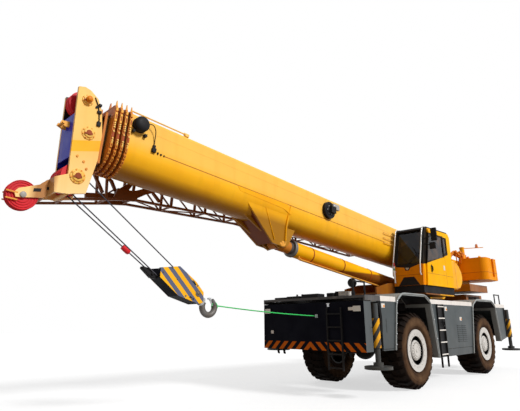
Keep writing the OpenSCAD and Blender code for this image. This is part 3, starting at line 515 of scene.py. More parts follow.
def jack_bands(f, colour):
    """Slanted dark bands on the jack sleeve: z + x - 1.3 |y| in steps, up to the sleeve's top; above it and
    on the beam, grey."""
    z, out = f.axis("Z"), abs(f.axis("Y"))
    bars = saw_stripes(z + (f.axis("X") - out * 1.3), 0.31)
    sleeve = out.span(1.478, 1.482) * z.fall(1.722, 1.728)
    return f.blend(sleeve, linear(70, 74, 76), f.blend(bars, colour, linear(44, 46, 50)))


def block_stripes(f, colour):
    """Grey stripes that run along the hook block: the distance across its slanted axis in steps. Between the
    cheek plates everything is near-black, as painted shade."""
    across = f.axis("X") * BLOCK_ACROSS[0] + f.axis("Z") * BLOCK_ACROSS[1]
    cheek = f.blend(saw_stripes(across + 10.03, 0.17), colour, linear(96, 102, 126))
    # Painted shade: near-black between the cheek plates, laid over the grime.
    return f.blend(abs(f.axis("Y")).fall(0.1655, 0.1675), cheek, linear(5, 5, 10))


print("striped: front plate, jacks, hook block")

# %% [markdown]
# ## Zones of colour on the upper works
# Collars, cheek plates and window frames have their own colour on the same solid, and some zones are painted
# light and shade. A zone is a product of ramps: each ramp goes from 0 to 1 within a few millimetres of one of
# the zone's edges. On the boom the ramps run along and across the boom, so its tilt is taken out of the
# coordinates first.

# %% Boom and head patterns
COLLARS_FROM, HEAD_MIDDLE = 12.722, 13.4
COLLAR_STEP = 95


def along_and_above(f):
    """Metres along the boom from its foot pin, x cos + z sin, and above the pin's line, z cos - x sin."""
    x, z = f.axis("X"), f.axis("Z")
    c, s = math.cos(TILT), math.sin(TILT)
    return x * c + z * s - (FOOT[0] * c + FOOT[2] * s), z * c - x * s - (FOOT[2] * c - FOOT[0] * s)


def collars_light_and_shade(f, colour):
    """Collars in a brown that is painted shade on their yellow, with darker painted shade in the gaps between
    them, in steps of 95 mm along the boom. The flat upper side of the boom carries a pale painted highlight
    and its underside a brown painted shade."""
    along, above = along_and_above(f)
    past = along - COLLARS_FROM
    collar = past.math("DIVIDE", COLLAR_STEP / 1000).math("FRACT").fall(0.50, 0.53)
    collars_in_shade = f.blend(collar, linear(34, 18, 10), linear(204, 120, 44))
    shell = f.blend(above.span(0.10, 0.30, 0.0, 0.5), colour, linear(255, 206, 112))
    shell = f.blend(above.span(-0.33, -0.14, 0.7, 0.0), shell, linear(112, 62, 20))
    return f.blend(past.span(0.0, 0.002), shell, collars_in_shade)


def head_zone(f, colour):
    """A deeper band slants across the cheek plates with a pale painted highlight above and below it, the nose
    arm is brown at its foot as painted shade, and it is blue between the plates where lit, with black painted
    shade above and below."""
    along, above = along_and_above(f)
    along = along - HEAD_MIDDLE
    slant = above + along * 0.35
    painted_highlight = slant.fall(-0.9, -0.2).span(0.0, 1.0, 0.42, 0.8)
    cheeks = f.blend(painted_highlight, colour, linear(255, 220, 158))
    cheeks = f.blend(slant.span(-0.192, -0.188) * slant.fall(0.004, 0.008), cheeks, colour)
    shaded_nose_foot = along.span(0.28, 0.36) * along.fall(0.50, 0.62) * above.span(-0.74, -0.70, 0.8, 0.0)
    cheeks = f.blend(shaded_nose_foot, cheeks, linear(150, 80, 28))
    lit = above.span(-0.42, -0.36) * above.fall(0.44, 0.50)
    between = f.blend(lit, linear(10, 10, 18), linear(12, 36, 190))
    inside = abs(f.axis("Y")).fall(0.236, 0.238) * above.span(-0.64, -0.62)
    return f.blend(inside, cheeks, between)


print("zones: collars, head")

# %% [markdown]
# ## Zones of the luffing cylinder and the slewing platform
# The cylinder's rod ends in an amber eye, found by its distance along the cylinder. The platform has brown
# painted shade on its nose and on the tray under the counterweight.

# %% Cylinder and platform patterns
ROD_WAY = (0.9915, 0.1301)


def rod_eye(f, colour):
    """Amber on the rod's eye: the distance along the cylinder past a mark."""
    along = f.axis("X") * ROD_WAY[0] + f.axis("Z") * ROD_WAY[1]
    return f.blend(along.span(2.648, 2.655), colour, linear(196, 120, 36))


def shaded_base(f, colour):
    """Brown painted shade on the slewing platform's nose and on the tray under the counterweight."""
    x, z = f.axis("X"), f.axis("Z")
    nose = x.span(-3.0, -2.95) * z.fall(2.98, 3.02)
    tray = x.fall(-6.15, -6.10) * z.fall(2.940, 2.945)
    return f.blend(nose.math("MAXIMUM", tray), colour, linear(138, 78, 24))


print("zones: rod eye, slewing platform")

# %% [markdown]
# ## Zones of colour on the cab and the carrier
# The cab is black round its windows and a deeper orange low on its front as painted shade, only the deck's
# side bands are pale, and the gap round each hub is dark with painted shade. The wheels' zones are measured
# from the nearest axle, so one finish serves all four.

# %% Cab, deck and wheel patterns
SILL_SLOPE, SILL_BEHIND, SILL_HEIGHT = 0.237, 1.99, 3.24
AXLES_BEHIND, HALF_WHEELBASE = 3.365, 2.425
AXLE_HEIGHT = 937.5


def cab_trim(f, colour):
    """Black round the side windows, between a sill line that climbs to the rear and a level line under the
    roof, and on the front from the sill up, along its slope. Below the sill the front is a deeper orange, as
    painted shade."""
    x, z = f.axis("X"), f.axis("Z")
    sill = x * SILL_SLOPE + (z - (SILL_HEIGHT - SILL_SLOPE * SILL_BEHIND))
    outer_side = f.axis("Y").span(1.425, 1.430) * x.span(-3.79, -3.78)
    windows = sill.span(0.0, 0.004) * z.fall(4.206, 4.212) * outer_side
    slope = x + (z - 3.27) * 0.2936
    screen = slope.span(-2.15, -2.145) * z.span(3.258, 3.262)
    shaded_lower_front = x.span(-2.06, -2.03, 0.0, 0.75) * z.fall(3.26, 3.30)
    colour = f.blend(shaded_lower_front, colour, linear(220, 112, 10))
    return f.blend(windows.math("MAXIMUM", screen), colour, linear(20, 20, 22))


def dark_nose(f, colour):
    """The deck's front end is dark, and so is its top: pale paint is left only on the side bands."""
    side = abs(f.axis("Y")).span(1.572, 1.576) * f.axis("X").fall(0.77, 0.775)
    return f.blend(side, linear(74, 74, 76), colour)


def hub_shadow(f, colour):
    """Painted shade: dark in the gap between the hub's cap and the rim, all that lies deeper across than the
    cap's edge.
    """
    return f.blend(abs(f.axis("Y")).fall(1.494, 1.498), colour, linear(8, 7, 7))


def from_axle(f):
    """Distance from the nearest axle's line: the axles lie half a wheelbase either side of a point that is a
    known distance behind the origin."""
    ahead = abs(f.axis("X") + AXLES_BEHIND) - HALF_WHEELBASE
    above = f.axis("Z") - AXLE_HEIGHT / 1000
    return (ahead * ahead + above * above).math("SQRT")


print("zones: cab windows, deck bands, hubs, tyre sides")

# %% [markdown]
# ## Paints of the upper works
# Yellow for the cab and boom, with deeper and paler kinds for castings, seams and worn edges. Each gets
# two close colours, its dust, the heights between which dust thins out, and how much of it there is.

# %% Upper paints
LOW_UPPER, HIGH_UPPER = (1.0, 3.2), (2.0, 4.0)
SATIN, DULL = (0.4, 0.6), (0.6, 0.8)
TAN, SAND = (196, 140, 40), (205, 160, 80)
yellow = paint("crane yellow", (254, 184, 6), (244, 166, 4), TAN, LOW_UPPER, 0.12, pattern=shaded_base)
weight_orange = paint("weight orange", (246, 156, 8), (236, 138, 6), (190, 120, 40), LOW_UPPER, 0.1, SATIN, 0)
amber = paint("collar amber", (252, 186, 78), (220, 138, 50), (150, 110, 70), LOW_UPPER, 0.15)
# Painted shade: a brown for yellow faces that stay in shade under the boom.
shade_brown = paint("painted shade brown", (126, 62, 20), (104, 48, 16), (110, 80, 50), LOW_UPPER, 0.1)
# Boom yellow: painted shade on the collars, their gaps and the underside, and a painted highlight on the
# upper side.
boom_yellow = paint("boom yellow", (253, 188, 26), (244, 170, 14), SAND, LOW_UPPER, 0.1, pattern=collars_light_and_shade)
# Head yellow: painted highlights on the cheeks, painted shade at the nose arm's foot and between the plates.
head_yellow = paint("head yellow", (255, 188, 14), (250, 176, 10), SAND, LOW_UPPER, 0.1, pattern=head_zone)
# Cab yellow: the deeper orange low on the cab's front is painted shade.
cab_yellow = paint("cab yellow", (255, 190, 4), (250, 178, 2), TAN, LOW_UPPER, 0.06, SATIN, 0, cab_trim)
seam_brown = paint("seam brown", (168, 74, 22), (140, 58, 18), (150, 100, 60), LOW_UPPER, 0.1)
pale_yellow = paint("worn yellow", (250, 204, 110), (236, 184, 84), (205, 170, 110), LOW_UPPER, 0.1)
# Painted shade: the folded jib is yellow; this brown stands for that yellow in shade.
jib_shade_brown = paint("jib painted shade", (150, 84, 26), (116, 62, 20), (110, 80, 56), HIGH_UPPER, 0.2)
red = paint("sheave red", (226, 44, 54), (190, 30, 40), (120, 60, 50), HIGH_UPPER, 0.1)
hose_orange = paint("hose orange", (226, 132, 22), (186, 96, 16), (120, 80, 40), (3.4, 4.0), 0.3)
rope_dark = paint("greased rope", (84, 84, 92), (58, 58, 66), (96, 88, 80), HIGH_UPPER, 0.1, SATIN, 0)
rod_dark = paint("cylinder rod", (92, 84, 80), (70, 64, 62), (90, 70, 50), (1.0, 2.0), 0.1, pattern=rod_eye)
striped = paint("striped block", (254, 192, 34), (244, 176, 26), DUST, (1.0, 2.6), 0.03, (0.5, 0.7), 0,
                block_stripes, over=True)
print("paints so far:", len(bpy.data.materials))

# %% [markdown]
# ## Paints of the carrier
# Three greys, a front plate painted near-black as shade on its grey, pale rims and plates, and a bright green
# lashing line. Road dust lies thickest here.

# %% Carrier paints
grey = paint("carrier grey", (74, 81, 83), (64, 71, 74), (112, 102, 92), (0.5, 2.0), 0.25)
lip_grey = paint("arch grey", (158, 163, 163), (140, 146, 146), DUST, (0.5, 2.2), 0.35)
pale = paint("band white", (242, 236, 230), (230, 224, 218), DUST, (2.0, 2.3), 0.25, pattern=dark_nose)
blank_white = paint("blank plate", (236, 232, 226), (214, 206, 196), DUST, (0.5, 2.0), 0.2)
line_green = paint("lashing green", (70, 214, 112), (50, 190, 92), (120, 170, 110), (0.0, 1.0), 0.1, DULL, 0)
float_dark = paint("float dark", (74, 76, 76), (52, 54, 54), (110, 98, 84), (0.4, 1.2), 0.4)
# Painted shade: the front plate's near-black face and orange chevrons stand for grey paint and yellow stripes
# in shade.
shaded_plate_dark = paint("plate in painted shade", (8, 8, 17), (5, 5, 10), (30, 26, 26), (0.9, 1.6), 0.12, DULL, 0, plate_chevrons)
black = paint("chassis black", (38, 38, 40), (26, 26, 28), (80, 70, 60), (0.4, 1.8), 0.4, (0.45, 0.7), 0)
rim_grey = paint("hub grey", (176, 172, 166), (150, 146, 140), (120, 104, 90), (0.2, 1.4), 0.3)
rim_white = paint("rim white", (214, 211, 206), (198, 195, 190), (164, 146, 128), (0.2, 1.4), 0.04,
                  pattern=hub_shadow, over=True)
banded = paint("banded jack", (250, 182, 20), (236, 160, 16), DUST, (0.5, 1.8), 0.3, pattern=jack_bands)
print("paints so far:", len(bpy.data.materials))

# %% [markdown]
# ## Metal, rubber and plastic
# These have a grain of their own: scratches along drawn steel, pits in castings, rubber and mouldings. The
# grain feeds bump and, on most of them, roughness as well, so that it shows in the highlights.

# %% Metal, rubber and plastic


def bare_steel():
    """Drawn steel: fine scratches along one way over a mid grey."""
    f = Finish("drawn steel")
    lines = f.noise(9.0, 8, (1, 12, 12))
    colour = f.blend(lines.span(0.3, 0.7), linear(150, 152, 154), linear(196, 197, 198))
    f.ripple(lines, 0.05)
    return f.done(colour, lines.span(0.3, 0.7, 0.22, 0.42), metallic=0.85)


def cast_iron():
    """Grainy dark metal with brown stains."""
    f = Finish("cast iron")
    grain = f.noise(55.0, 6)
    colour = f.blend(f.noise(4.0, 6).span(0.4, 0.7), linear(104, 102, 100), linear(84, 74, 64))
    f.ripple(grain, 0.25, 0.004)
    return f.done(colour, grain.span(0.3, 0.7, 0.45, 0.65), metallic=0.35)


def rubber():
    """Tyre rubber: a near-black tread, black rubber darkened further by painted shade, and a sidewall dusted
    brown, by the distance from the axle, with fine pits.
    """
    f = Finish("dusty rubber", 0.06)
    dusty = f.noise(3.0, 8).span(0.3, 0.75)
    r = from_axle(f)
    clean = f.blend(dusty, linear(34, 21, 13), linear(52, 35, 24))
    brown = f.blend(dusty, linear(60, 39, 26), linear(108, 83, 60))
    wall = f.blend(r.span(0.52, 0.66) * r.span(0.72, 0.83, 1.0, 0.15), clean, brown)
    tread_black_and_shade = f.blend(dusty, linear(12, 10, 9), linear(36, 26, 20))
    f.ripple(f.noise(90.0, 4), 0.3, 0.003)
    # The tread is painted darker than black rubber, as shade.
    return f.done(f.blend(r.span(0.80, 0.84), wall, tread_black_and_shade), dusty.span(0.0, 1.0, 0.7, 0.92))


def moulded():
    """Black moulded plastic and hose rubber."""
    f = Finish("black moulding", 0.1)
    grain = f.noise(120.0, 3)
    colour = f.blend(f.noise(3.0, 5).span(0.35, 0.7), linear(22, 22, 24), linear(40, 38, 38))
    f.ripple(grain, 0.2, 0.001)
    return f.done(colour, grain.span(0.3, 0.7, 0.4, 0.6))


steel, iron, tread, trim = bare_steel(), cast_iron(), rubber(), moulded()
print("materials so far:", len(bpy.data.materials))

# %% [markdown]
# ## Glass, lenses and bright tube
# The cab's glass is dark and a little see-through, with warm patches of painted reflection. A lens
# has moulded ribs, made by the same saw wave as a stripe. A bright tube is pale paint with darker chips.

# %% Glass, lenses and bright tube


def tinted_glass():
    """Dark blue glass: a see-through film with a clear gloss, a little dirt and soft brownish patches of
    painted reflection.
    """
    f = Finish("tinted glass", 0.3)
    f.shader.inputs["Alpha"].default_value = 0.88
    dirt = f.noise(5.0, 8).span(0.5, 0.8)
    painted_reflection = f.noise(1.5, 2).span(0.50, 0.66, 0.0, 0.8)
    colour = f.blend(painted_reflection, f.blend(dirt, linear(7, 10, 24), linear(26, 30, 42)), linear(96, 70, 50))
    return f.done(colour, dirt.span(0.0, 1.0, 0.03, 0.14))


def lens(name, bright, deep):
    """A lamp's moulded lens: ribs across it and a clear gloss."""
    f = Finish(name)
    ribs = (f.axis("Y") * 45.0).math("FRACT").span(0.2, 0.8)
    f.ripple(ribs, 0.3, 0.002)
    gloss = f.noise(20.0, 3).span(0.3, 0.7, 0.08, 0.2)
    return f.done(f.blend(ribs, linear(*bright), linear(*deep)), gloss, coat=0.5)


def bright_tube():
    """Pale painted tube: chips of darker grey over near-white."""
    f = Finish("bright tube")
    chips = f.noise(14.0, 6).span(0.55, 0.7)
    colour = f.blend(chips, linear(222, 222, 220), linear(160, 158, 154))
    return f.done(colour, chips.span(0.0, 1.0, 0.25, 0.5), metallic=0.2)


glass, bright = tinted_glass(), bright_tube()
lens_green = lens("green lens", (40, 150, 90), (20, 96, 56))
lamp_clear = lens("clear lens", (236, 232, 220), (190, 188, 180))
lamp_red = lens("red lens", (200, 24, 20), (120, 10, 10))
lamp_amber = lens("amber lens", (250, 140, 20), (190, 90, 10))
print("materials:", len(bpy.data.materials))

# %% [markdown]
# ## Dressing the solids
# Every solid of the frame gets one finish. One table lists the finishes and the solids that wear them.

# %% Dress the solids
WORN_BY = {
    yellow: "engine_hood turntable luff_barrel", weight_orange: "counterweight",
    boom_yellow: "boom_base section_2 section_3 section_4 section_5", head_yellow: "boom_head",
    cab_yellow: "cab_shell cab_door", glass: "cab_glass door_glass", rod_dark: "luff_rod",
    grey: "side_panels rear_body", lip_grey: "wheel_arches", pale: "deck", shaded_plate_dark: "front_plate",
    black: "chassis_frame axles ladders slew_ring cab_base knuckle_fl knuckle_fr knuckle_rl knuckle_rr",
    tread: "tyre_fl tyre_fr tyre_rl tyre_rr", rim_white: "rim_fl rim_fr rim_rl rim_rr",
    banded: "beam_fl beam_fr beam_rl beam_rr", float_dark: "jack_fl jack_fr jack_rl jack_rr",
    trim: "handrails cab_seat cab_mirrors cable_reels", rope_dark: "hoist_ropes",
    iron: "engine_block winches hook", jib_shade_brown: "fly_jib", red: "head_sheaves",
    striped: "hook_block", lamp_clear: "lamps",
}
for finish, names in WORN_BY.items():
    for name in names.split():
        mesh = solids[name].data
        mesh.materials.clear()
        mesh.materials.append(finish)
print("dressed", sum(len(names.split()) for names in WORN_BY.values()), "solids")

# %% [markdown]
# ## Tyres
# A big earthmover tyre has a smooth carcass and tall lugs, cut straight at the shoulder and set half a
# step apart on its two halves. One grid does both: its radius is the carcass, raised to the tread's
# outline wherever the angle falls on a lug. The grid has lines exactly at the lugs' edges, so the
# lugs stay crisp with few faces.

# %% Tyre tread
CARCASS = np.array([[895.5, 0], [895.5, 10], [895.5, 70], [895.5, 140], [895.5, 200], [893, 248],
                    [862, 305], [835, 335], [812, 352], [770, 362], [752, 364], [742, 371], [730, 367],
                    [703, 371], [650, 366], [618, 357], [608, 361], [596, 350], [565, 333], [525, 316],
                    [480, 313], [441, 310]])
TREAD = CARCASS.copy()
TREAD[1:9] = [[936.5, 16], [936.5, 70], [936.5, 140], [936.5, 200], [936.5, 262], [893, 308], [864, 334],
              [842, 355]]
FRONT_AXLE, REAR_AXLE = 2550, -2300
WHEELS = (("fl", FRONT_AXLE, 1), ("fr", FRONT_AXLE, -1), ("rl", REAR_AXLE, 1), ("rr", REAR_AXLE, -1))
WHEEL_MIDDLE = 1205


def tyre_shell(centre, side, count=28):
    """Radius and width = carcass + lug * (tread - carcass); lug is 1 on a lug, 0 between lugs, with short
    slopes, and the inner half is turned by half a step. The angle runs round the axle, which lies along y."""
    step = np.array([0.06, 0.08, 0.12, 0.14, 0.35, 0.56, 0.58, 0.62, 0.64, 0.85])
    turn = (np.arange(count)[:, None] + step).ravel() / count * 2 * math.pi
    near = np.tile(np.interp(step, [0, 0.08, 0.14, 0.56, 0.62, 1], [0, 0, 1, 1, 0, 0]), count)
    far = np.tile(np.interp(step, [0, 0.06, 0.12, 0.58, 0.64, 1], [1, 1, 0, 0, 1, 1]), count)
    rise = TREAD - CARCASS
    outer = CARCASS + near[:, None, None] * rise
    inner = (CARCASS + far[:, None, None] * rise)[:, :0:-1] * [1, -1]
    r, y = np.moveaxis(np.concatenate([inner, outer], 1), -1, 0)
    pts = centre + np.stack([r * np.cos(turn)[:, None], side * y, -r * np.sin(turn)[:, None]], -1) / 1000
    return pts.reshape(-1, 3), grid_faces(len(turn), r.shape[1], True, True).tolist()


for tag, x, side in WHEELS:
    hub = at(x, side * WHEEL_MIDDLE, AXLE_HEIGHT)
    skin = piece("tyre_tread_" + tag, [tyre_shell(hub, side)], "wheel_" + tag, tread, 30)
    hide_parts("tyre_" + tag)

# %% [markdown]
# ## Wheel hubs
# The rim is a pale dished ring; inside it, past a gap dark with painted shade, sits the planetary hub with a
# ring of bolts and a round filler cover. The cover is a profile turned about the axle, and the bolts are
# six-sided prisms on two circles, one on the cap and one on the rim.

# %% Hub covers and bolts
COVER = [(0.310, 0.150), (0.326, 0.150), (0.331, 0.144), (0.331, 0.095), (0.326, 0.090), (0.326, 0.050),
         (0.338, 0.046), (0.338, 0.012)]
HUB_BOLTS = 18
for tag, x, side in WHEELS:
    outward = (0, side, 0)
    hub = at(x, side * WHEEL_MIDDLE, AXLE_HEIGHT)
    piece("hub_cover_" + tag, [turned(COVER, hub, outward, 40)], "wheel_" + tag, rim_white, 35)
    cap_y, rim_y = side * (WHEEL_MIDDLE + 316), side * (WHEEL_MIDDLE + 331)
    on_cap = bolt_ring(x, cap_y, AXLE_HEIGHT, 196, HUB_BOLTS, 0.017, 0.02, axis=outward)
    on_rim = bolt_ring(x, rim_y, AXLE_HEIGHT, 405, HUB_BOLTS, 0.013, 0.016, axis=outward)
    piece("hub_bolts_" + tag, [on_cap, on_rim], "wheel_" + tag, rim_white, 0)

# %% [markdown]
# ## Boom side
# A shallow seam runs along the boom's side, and near the front a cable drops from a drum to a bracket on
# that seam. A short rail with an end stop stands on the top edge. The seam is a strip a few millimetres
# proud; cable and rail are pipes along bent paths.

# %% Seam, rail and cable
seam = block([[3300, 429, 176], [8380, 429, 176]], [[8380, 433, 188], [11990, 433, 188]], on_boom)
piece("boom_seam", both([seam]), "boom", seam_brown, 0)
piece("boom_weld_line", both([block([700, 429, 520], [12200, 431.5, 525], on_boom)]), "boom", amber, 0)
rail = pipe([12735, 12735, 11560, 11560], 395, [765, 812, 812, 765], 0.03, 0.014, place=on_boom)
stop = block([[11490, 360, 766], [11480, 375, 800]], [[11580, 425, 812], [11600, 412, 836]], on_boom)
piece("boom_top_rail", [rail, stop], "boom", pale_yellow, 40, 0.004)
drop = pipe([12440, 12330, 12260, 12235, 12232], [500, 520, 500, 452, 448], [640, 655, 560, 420, 300],
            0.09, 0.009, 8, on_boom)
clips = block([[12190, 429, 170], [12205, 430, 255], [12050, 429, 168], [11985, 429, 170], [12120, 429, 168]],
              [[12270, 480, 250], [12255, 470, 310], [12080, 452, 200], [12010, 448, 198], [12145, 456, 204]],
              on_boom)
piece("boom_cable", [drop, clips], "boom", trim, 40, 0.006)

# %% [markdown]
# ## Drums on the boom's side
# Two round drums stand out from the boom: a ribbed cover near the front and an open reel in the middle.
# Both are turned profiles, and the cable on the reel is a helix of five turns.

# %% Drum cover and reel
REEL_U, REEL_W, REEL_TURNS, WOUND_RADIUS = 7000, 430, 5, 0.190
DRUM = [(0.428, 0.110), (0.432, 0.137), (0.450, 0.139), (0.455, 0.132), (0.475, 0.132), (0.480, 0.139),
        (0.500, 0.139), (0.505, 0.132), (0.525, 0.132), (0.530, 0.139), (0.552, 0.139), (0.575, 0.128),
        (0.590, 0.104), (0.598, 0.070), (0.601, 0.030)]
SPOOL = [(0.428, 0.222), (0.440, 0.222), (0.442, 0.178), (0.500, 0.178), (0.502, 0.222), (0.514, 0.222),
         (0.518, 0.214), (0.516, 0.120), (0.530, 0.110), (0.545, 0.070), (0.545, 0.030)]
drum_feet = block([[12420, 429, 385], [12660, 429, 392]], [[12470, 500, 432], [12700, 500, 440]], on_boom)
piece("boom_drum_cover", [turned(DRUM, on_boom(12569, 0, 570), n=40), drum_feet], "boom", trim, 35)
reel = on_boom(REEL_U, 0, REEL_W)
piece("reel_spool", [turned(SPOOL, reel, n=48)], "boom", trim, 35)
wound = np.linspace(0, REEL_TURNS * 2 * math.pi, 150)
helix = np.stack([WOUND_RADIUS * np.cos(wound), 0.447 + 0.049 * wound / wound[-1],
                  WOUND_RADIUS * np.sin(wound)], -1)
piece("reel_windings", [rod(reel + helix, 0.0065, 6)], "boom", trim, 50)

# %% [markdown]
# ## Collars of the boom sections
# Each section ends in a thick collar. Round it stand adjusting blocks for the wear pads, each with a
# bolt: they are what makes the front of the boom look like a row of combs. A block is a box placed
# on the collar's outline and turned with it.

# %% Collar blocks
BELLY_CENTRE, COLLAR_RADIUS = 80, 445
FIRST_COLLAR = 12770
SUNK = 4


def round_collar(run):
    """Points on the collar and their outward directions for a run in mm: straight up the side above the
    belly's centre, and round the belly's arc below it, where the angle is (run - centre) / radius."""
    past = np.asarray(run, float) - BELLY_CENTRE
    a = np.minimum(past, 0) / COLLAR_RADIUS
    out = np.stack([np.cos(a), np.sin(a)], -1)
    return COLLAR_RADIUS * out + np.stack([0 * past, BELLY_CENTRE + np.maximum(past, 0)], -1), out


def lugs(u, length, runs, wide, tall):
    """Boxes on the collar: spot + along * u + across * side + out * height, sunk a little into it."""
    spot, out = round_collar(runs)
    along, across, rise = (CORNERS * [1, 2, 1] - [0, 1, 0]).T
    half = np.broadcast_to(np.asarray(wide, float) / 2, len(spot))[:, None] * across
    height = tall * rise - SUNK
    y = spot[:, :1] - half * out[:, 1:] + height * out[:, :1]
    w = spot[:, 1:] + half * out[:, :1] + height * out[:, 1:]
    return on_boom(u + length * along, y, w).reshape(-1, 3), box_faces(len(spot))


BELLY_RUNS = np.arange(18, -640, -112.0)
NUT_RUNS = [430, 390, 350, 100, 66, 270, 140]
for k, body in enumerate(("boom", "tele_section_2", "tele_section_3", "tele_section_4")):
    front = FIRST_COLLAR + COLLAR_STEP * k
    fin = [[front - 46, 770], [front - 6, 770], [front - 14, 868], [front - 24, 872]]
    blocks = [lugs(front - 46, 42, [545, 690], [170, 62], 26), lugs(front - 44, 38, BELLY_RUNS, 74, 24),
              cut_plate(fin, 398, 420, on_boom)]
    piece("collar_blocks_%d" % (k + 1), both(blocks), body, amber, 0, 0.004)
    pads = [lugs(front - 46, 40, [205], [176], 18), lugs(front - 36, 22, BELLY_RUNS, 44, 25.5),
            lugs(front - 12, 10, BELLY_RUNS, 44, 20), lugs(front - 38, 24, [545], [96], 27)]
    piece("collar_pads_%d" % (k + 1), both(pads), body, seam_brown, 0, 0.003)
    nuts = [bolts(on_boom(front - 26, y + 6 * a, w + 6 * b), (0, a, b), 0.016, 0.020)
            for (y, w), (a, b) in zip(*round_collar(NUT_RUNS))]
    piece("collar_bolts_%d" % (k + 1), both(nuts), body, pale_yellow, 0)

# %% [markdown]
# ## Boom head
# Two tall cheek plates hold the sheaves. Their pins end in round bosses with keeper plates and bolts,
# and the upper pin carries a stepped end. A boss is a stepped profile turned about the pin.

# %% Bosses, pins and bolts of the head
HEAD_BODY = "tele_section_5"
TOP_PIN = (13484, 716)
BOSSES = ((*TOP_PIN, 0.095), (13372, 148, 0.115), (13416, -634, 0.125))
PIN_END = [(0.315, 0.050), (0.345, 0.050), (0.349, 0.040), (0.358, 0.040), (0.362, 0.052), (0.378, 0.052),
           (0.382, 0.042), (0.396, 0.040), (0.402, 0.030), (0.402, 0.004)]


def boss(u, w, r):
    """A flange, a raised ring and a hollow centre: heights and radii turned about the pin."""
    profile = [(0.283, r), (0.297, r), (0.301, r - 0.006), (0.301, 0.74 * r), (0.318, 0.70 * r),
               (0.321, 0.66 * r), (0.321, 0.40 * r), (0.308, 0.36 * r), (0.308, 0.05 * r)]
    return turned(profile, on_boom(u, 0, w), n=36)


def eight_sided_pin(u, w, r):
    """The pin's end in the middle of a boss: a prism with a drawn-in top."""
    profile = [(0.300, 0.42 * r), (0.330, 0.42 * r), (0.336, 0.36 * r), (0.336, 0.02)]
    return turned(profile, on_boom(u, 0, w), n=8)


def keeper(u, w):
    """A slanted strip that holds the pin, the same on every boss."""
    strip = [[u - 60, w - 22], [u + 70, w - 40], [u + 76, w - 14], [u - 54, w + 6]]
    return cut_plate(strip, 318, 334, on_boom)


def boss_bolts(u, w, r, n=8):
    """Bolts on a circle of 0.86 r round the pin, the first half a step round."""
    return bolt_ring(u, 300, w, 860 * r, n, 0.014, 0.012, on_boom, start=math.pi / n)


piece("head_bosses", both([boss(*b) for b in BOSSES]), HEAD_BODY, pale_yellow, 35)
top_end = turned(PIN_END, on_boom(TOP_PIN[0], 0, TOP_PIN[1]), n=24)
piece("head_pin_end", both([top_end]), HEAD_BODY, hose_orange, 35)
pins = both([eight_sided_pin(*b) for b in BOSSES])
piece("head_pins", pins + both([keeper(u, w) for u, w, r in BOSSES]), HEAD_BODY, seam_brown, 30)
cheek_bolts = bolts(on_boom([13363, 13300, 13480], 284, [-362, -470, -300]), ACROSS, 0.022, 0.016)
piece("head_bolts", both([boss_bolts(*b) for b in BOSSES] + [cheek_bolts]), HEAD_BODY, amber, 0)

# %% [markdown]
# ## Cable and auxiliary nose of the head
# A cable runs down the cheek's edge past its sockets, and a small bracket stands on the front. Below, the
# auxiliary nose ends in a fork round a pin; its arm has slots, and its sheave shows rings of rope grooves.

# %% Fittings of the head
NOSE_U, NOSE_W = 960, -1090


def on_head(u, y, w):
    """On the boom, with the distance along it measured from where the head begins."""
    return on_boom(HEAD + np.asarray(u, float), y, w)


cable = pipe([250, 180, 150, 110], 296, [820, 700, 616, 400], 0.15, 0.010, 8, on_head)
sockets = block([[105, 284, 560], [84, 284, 330], [180, 284, 640], [120, 284, 690]],
                [[175, 318, 610], [150, 318, 410], [216, 310, 676], [170, 318, 735]], on_head)
piece("head_cable", [cable, sockets], HEAD_BODY, trim, 40, 0.004)
ear = cut_plate([[470, 330], [640, 300], [655, 250], [560, 215], [468, 230]], 60, 84, on_head)
ear_pin = rod(on_head(610, [-110, 110], 268), 0.022, 12)
piece("head_front_bracket", both([ear]) + [ear_pin], HEAD_BODY, amber, 40, 0.003)
prongs = block([[1030, 78, -1092], [1020, 78, -1200]], [[1196, 92, -1068], [1186, 92, -1178]], on_head)
piece("nose_prongs", both([prongs]), HEAD_BODY, amber, 0, 0.004)
nose_pin = [(-0.112, 0.040), (-0.108, 0.046), (-0.092, 0.046), (0.092, 0.046), (0.108, 0.046), (0.112, 0.040)]
piece("nose_pin", [turned(nose_pin, on_head(NOSE_U, 0, NOSE_W), n=28)], HEAD_BODY, rim_grey, 35)
nose_slots = ([[722, -925], [830, -952], [834, -1006], [728, -980]],
              [[590, -860], [650, -880], [650, -930], [590, -905]])
piece("nose_slots", both([cut_plate(slot, 88, 93, on_head) for slot in nose_slots]), HEAD_BODY, trim, 0)
grooves = [hoop(NOSE_U, 58, NOSE_W, r, r, 0.006, 48, 6, on_head) for r in (112, 150, 190, 222)]
piece("nose_sheave_rings", both(grooves), HEAD_BODY, red, 40)

# %% [markdown]
# ## Belly of the boom
# The solid's belly is a chain of flat strips, and a low sun shows every one of them. A thin skin with many
# more steps lies a millimetre over it: a half ring, outer arc and inner arc joined into one profile.

# %% Belly skin


def belly_skin(u0, u1, outer, inner, n=73, m=24):
    """Half rings of two radii about the belly's centre, closed into one profile and drawn from u0 to u1."""
    a = np.linspace(0, -math.pi, n)
    y = np.concatenate([outer * np.cos(a), inner * np.cos(a[::-1])])
    w = BELLY_CENTRE + np.concatenate([outer * np.sin(a), inner * np.sin(a[::-1])])
    return capped(on_boom(np.linspace(u0, u1, m)[:, None], y, w))


piece("boom_belly", [belly_skin(-340, 12722, 431.2, 425)], "boom", boom_yellow, 25)

# %% [markdown]
# ## Bracket of the luffing cylinder
# Under the boom two leaning plates come down to the rod's pin. A doubling plate ties each of them to the
# boom's side, a broad plate closes them in front, and a rib stiffens their rear edge. The front plate stops
# at the belly: for every line along it, its upper end is where that line meets the belly's circle.

# %% Bracket plates
BRACKET_TOP, BRACKET_LOW = 82, -776
FRONT_U, FRONT_LEAN, FRONT_NORMAL = 10040, 1.415, (-0.577, 0.817)
FRONT_HALF, FRONT_TAPER = 422, 0.197
PLATE_Y, PLATE_LEAN = 432, 0.193
BELLY_RADIUS = 437


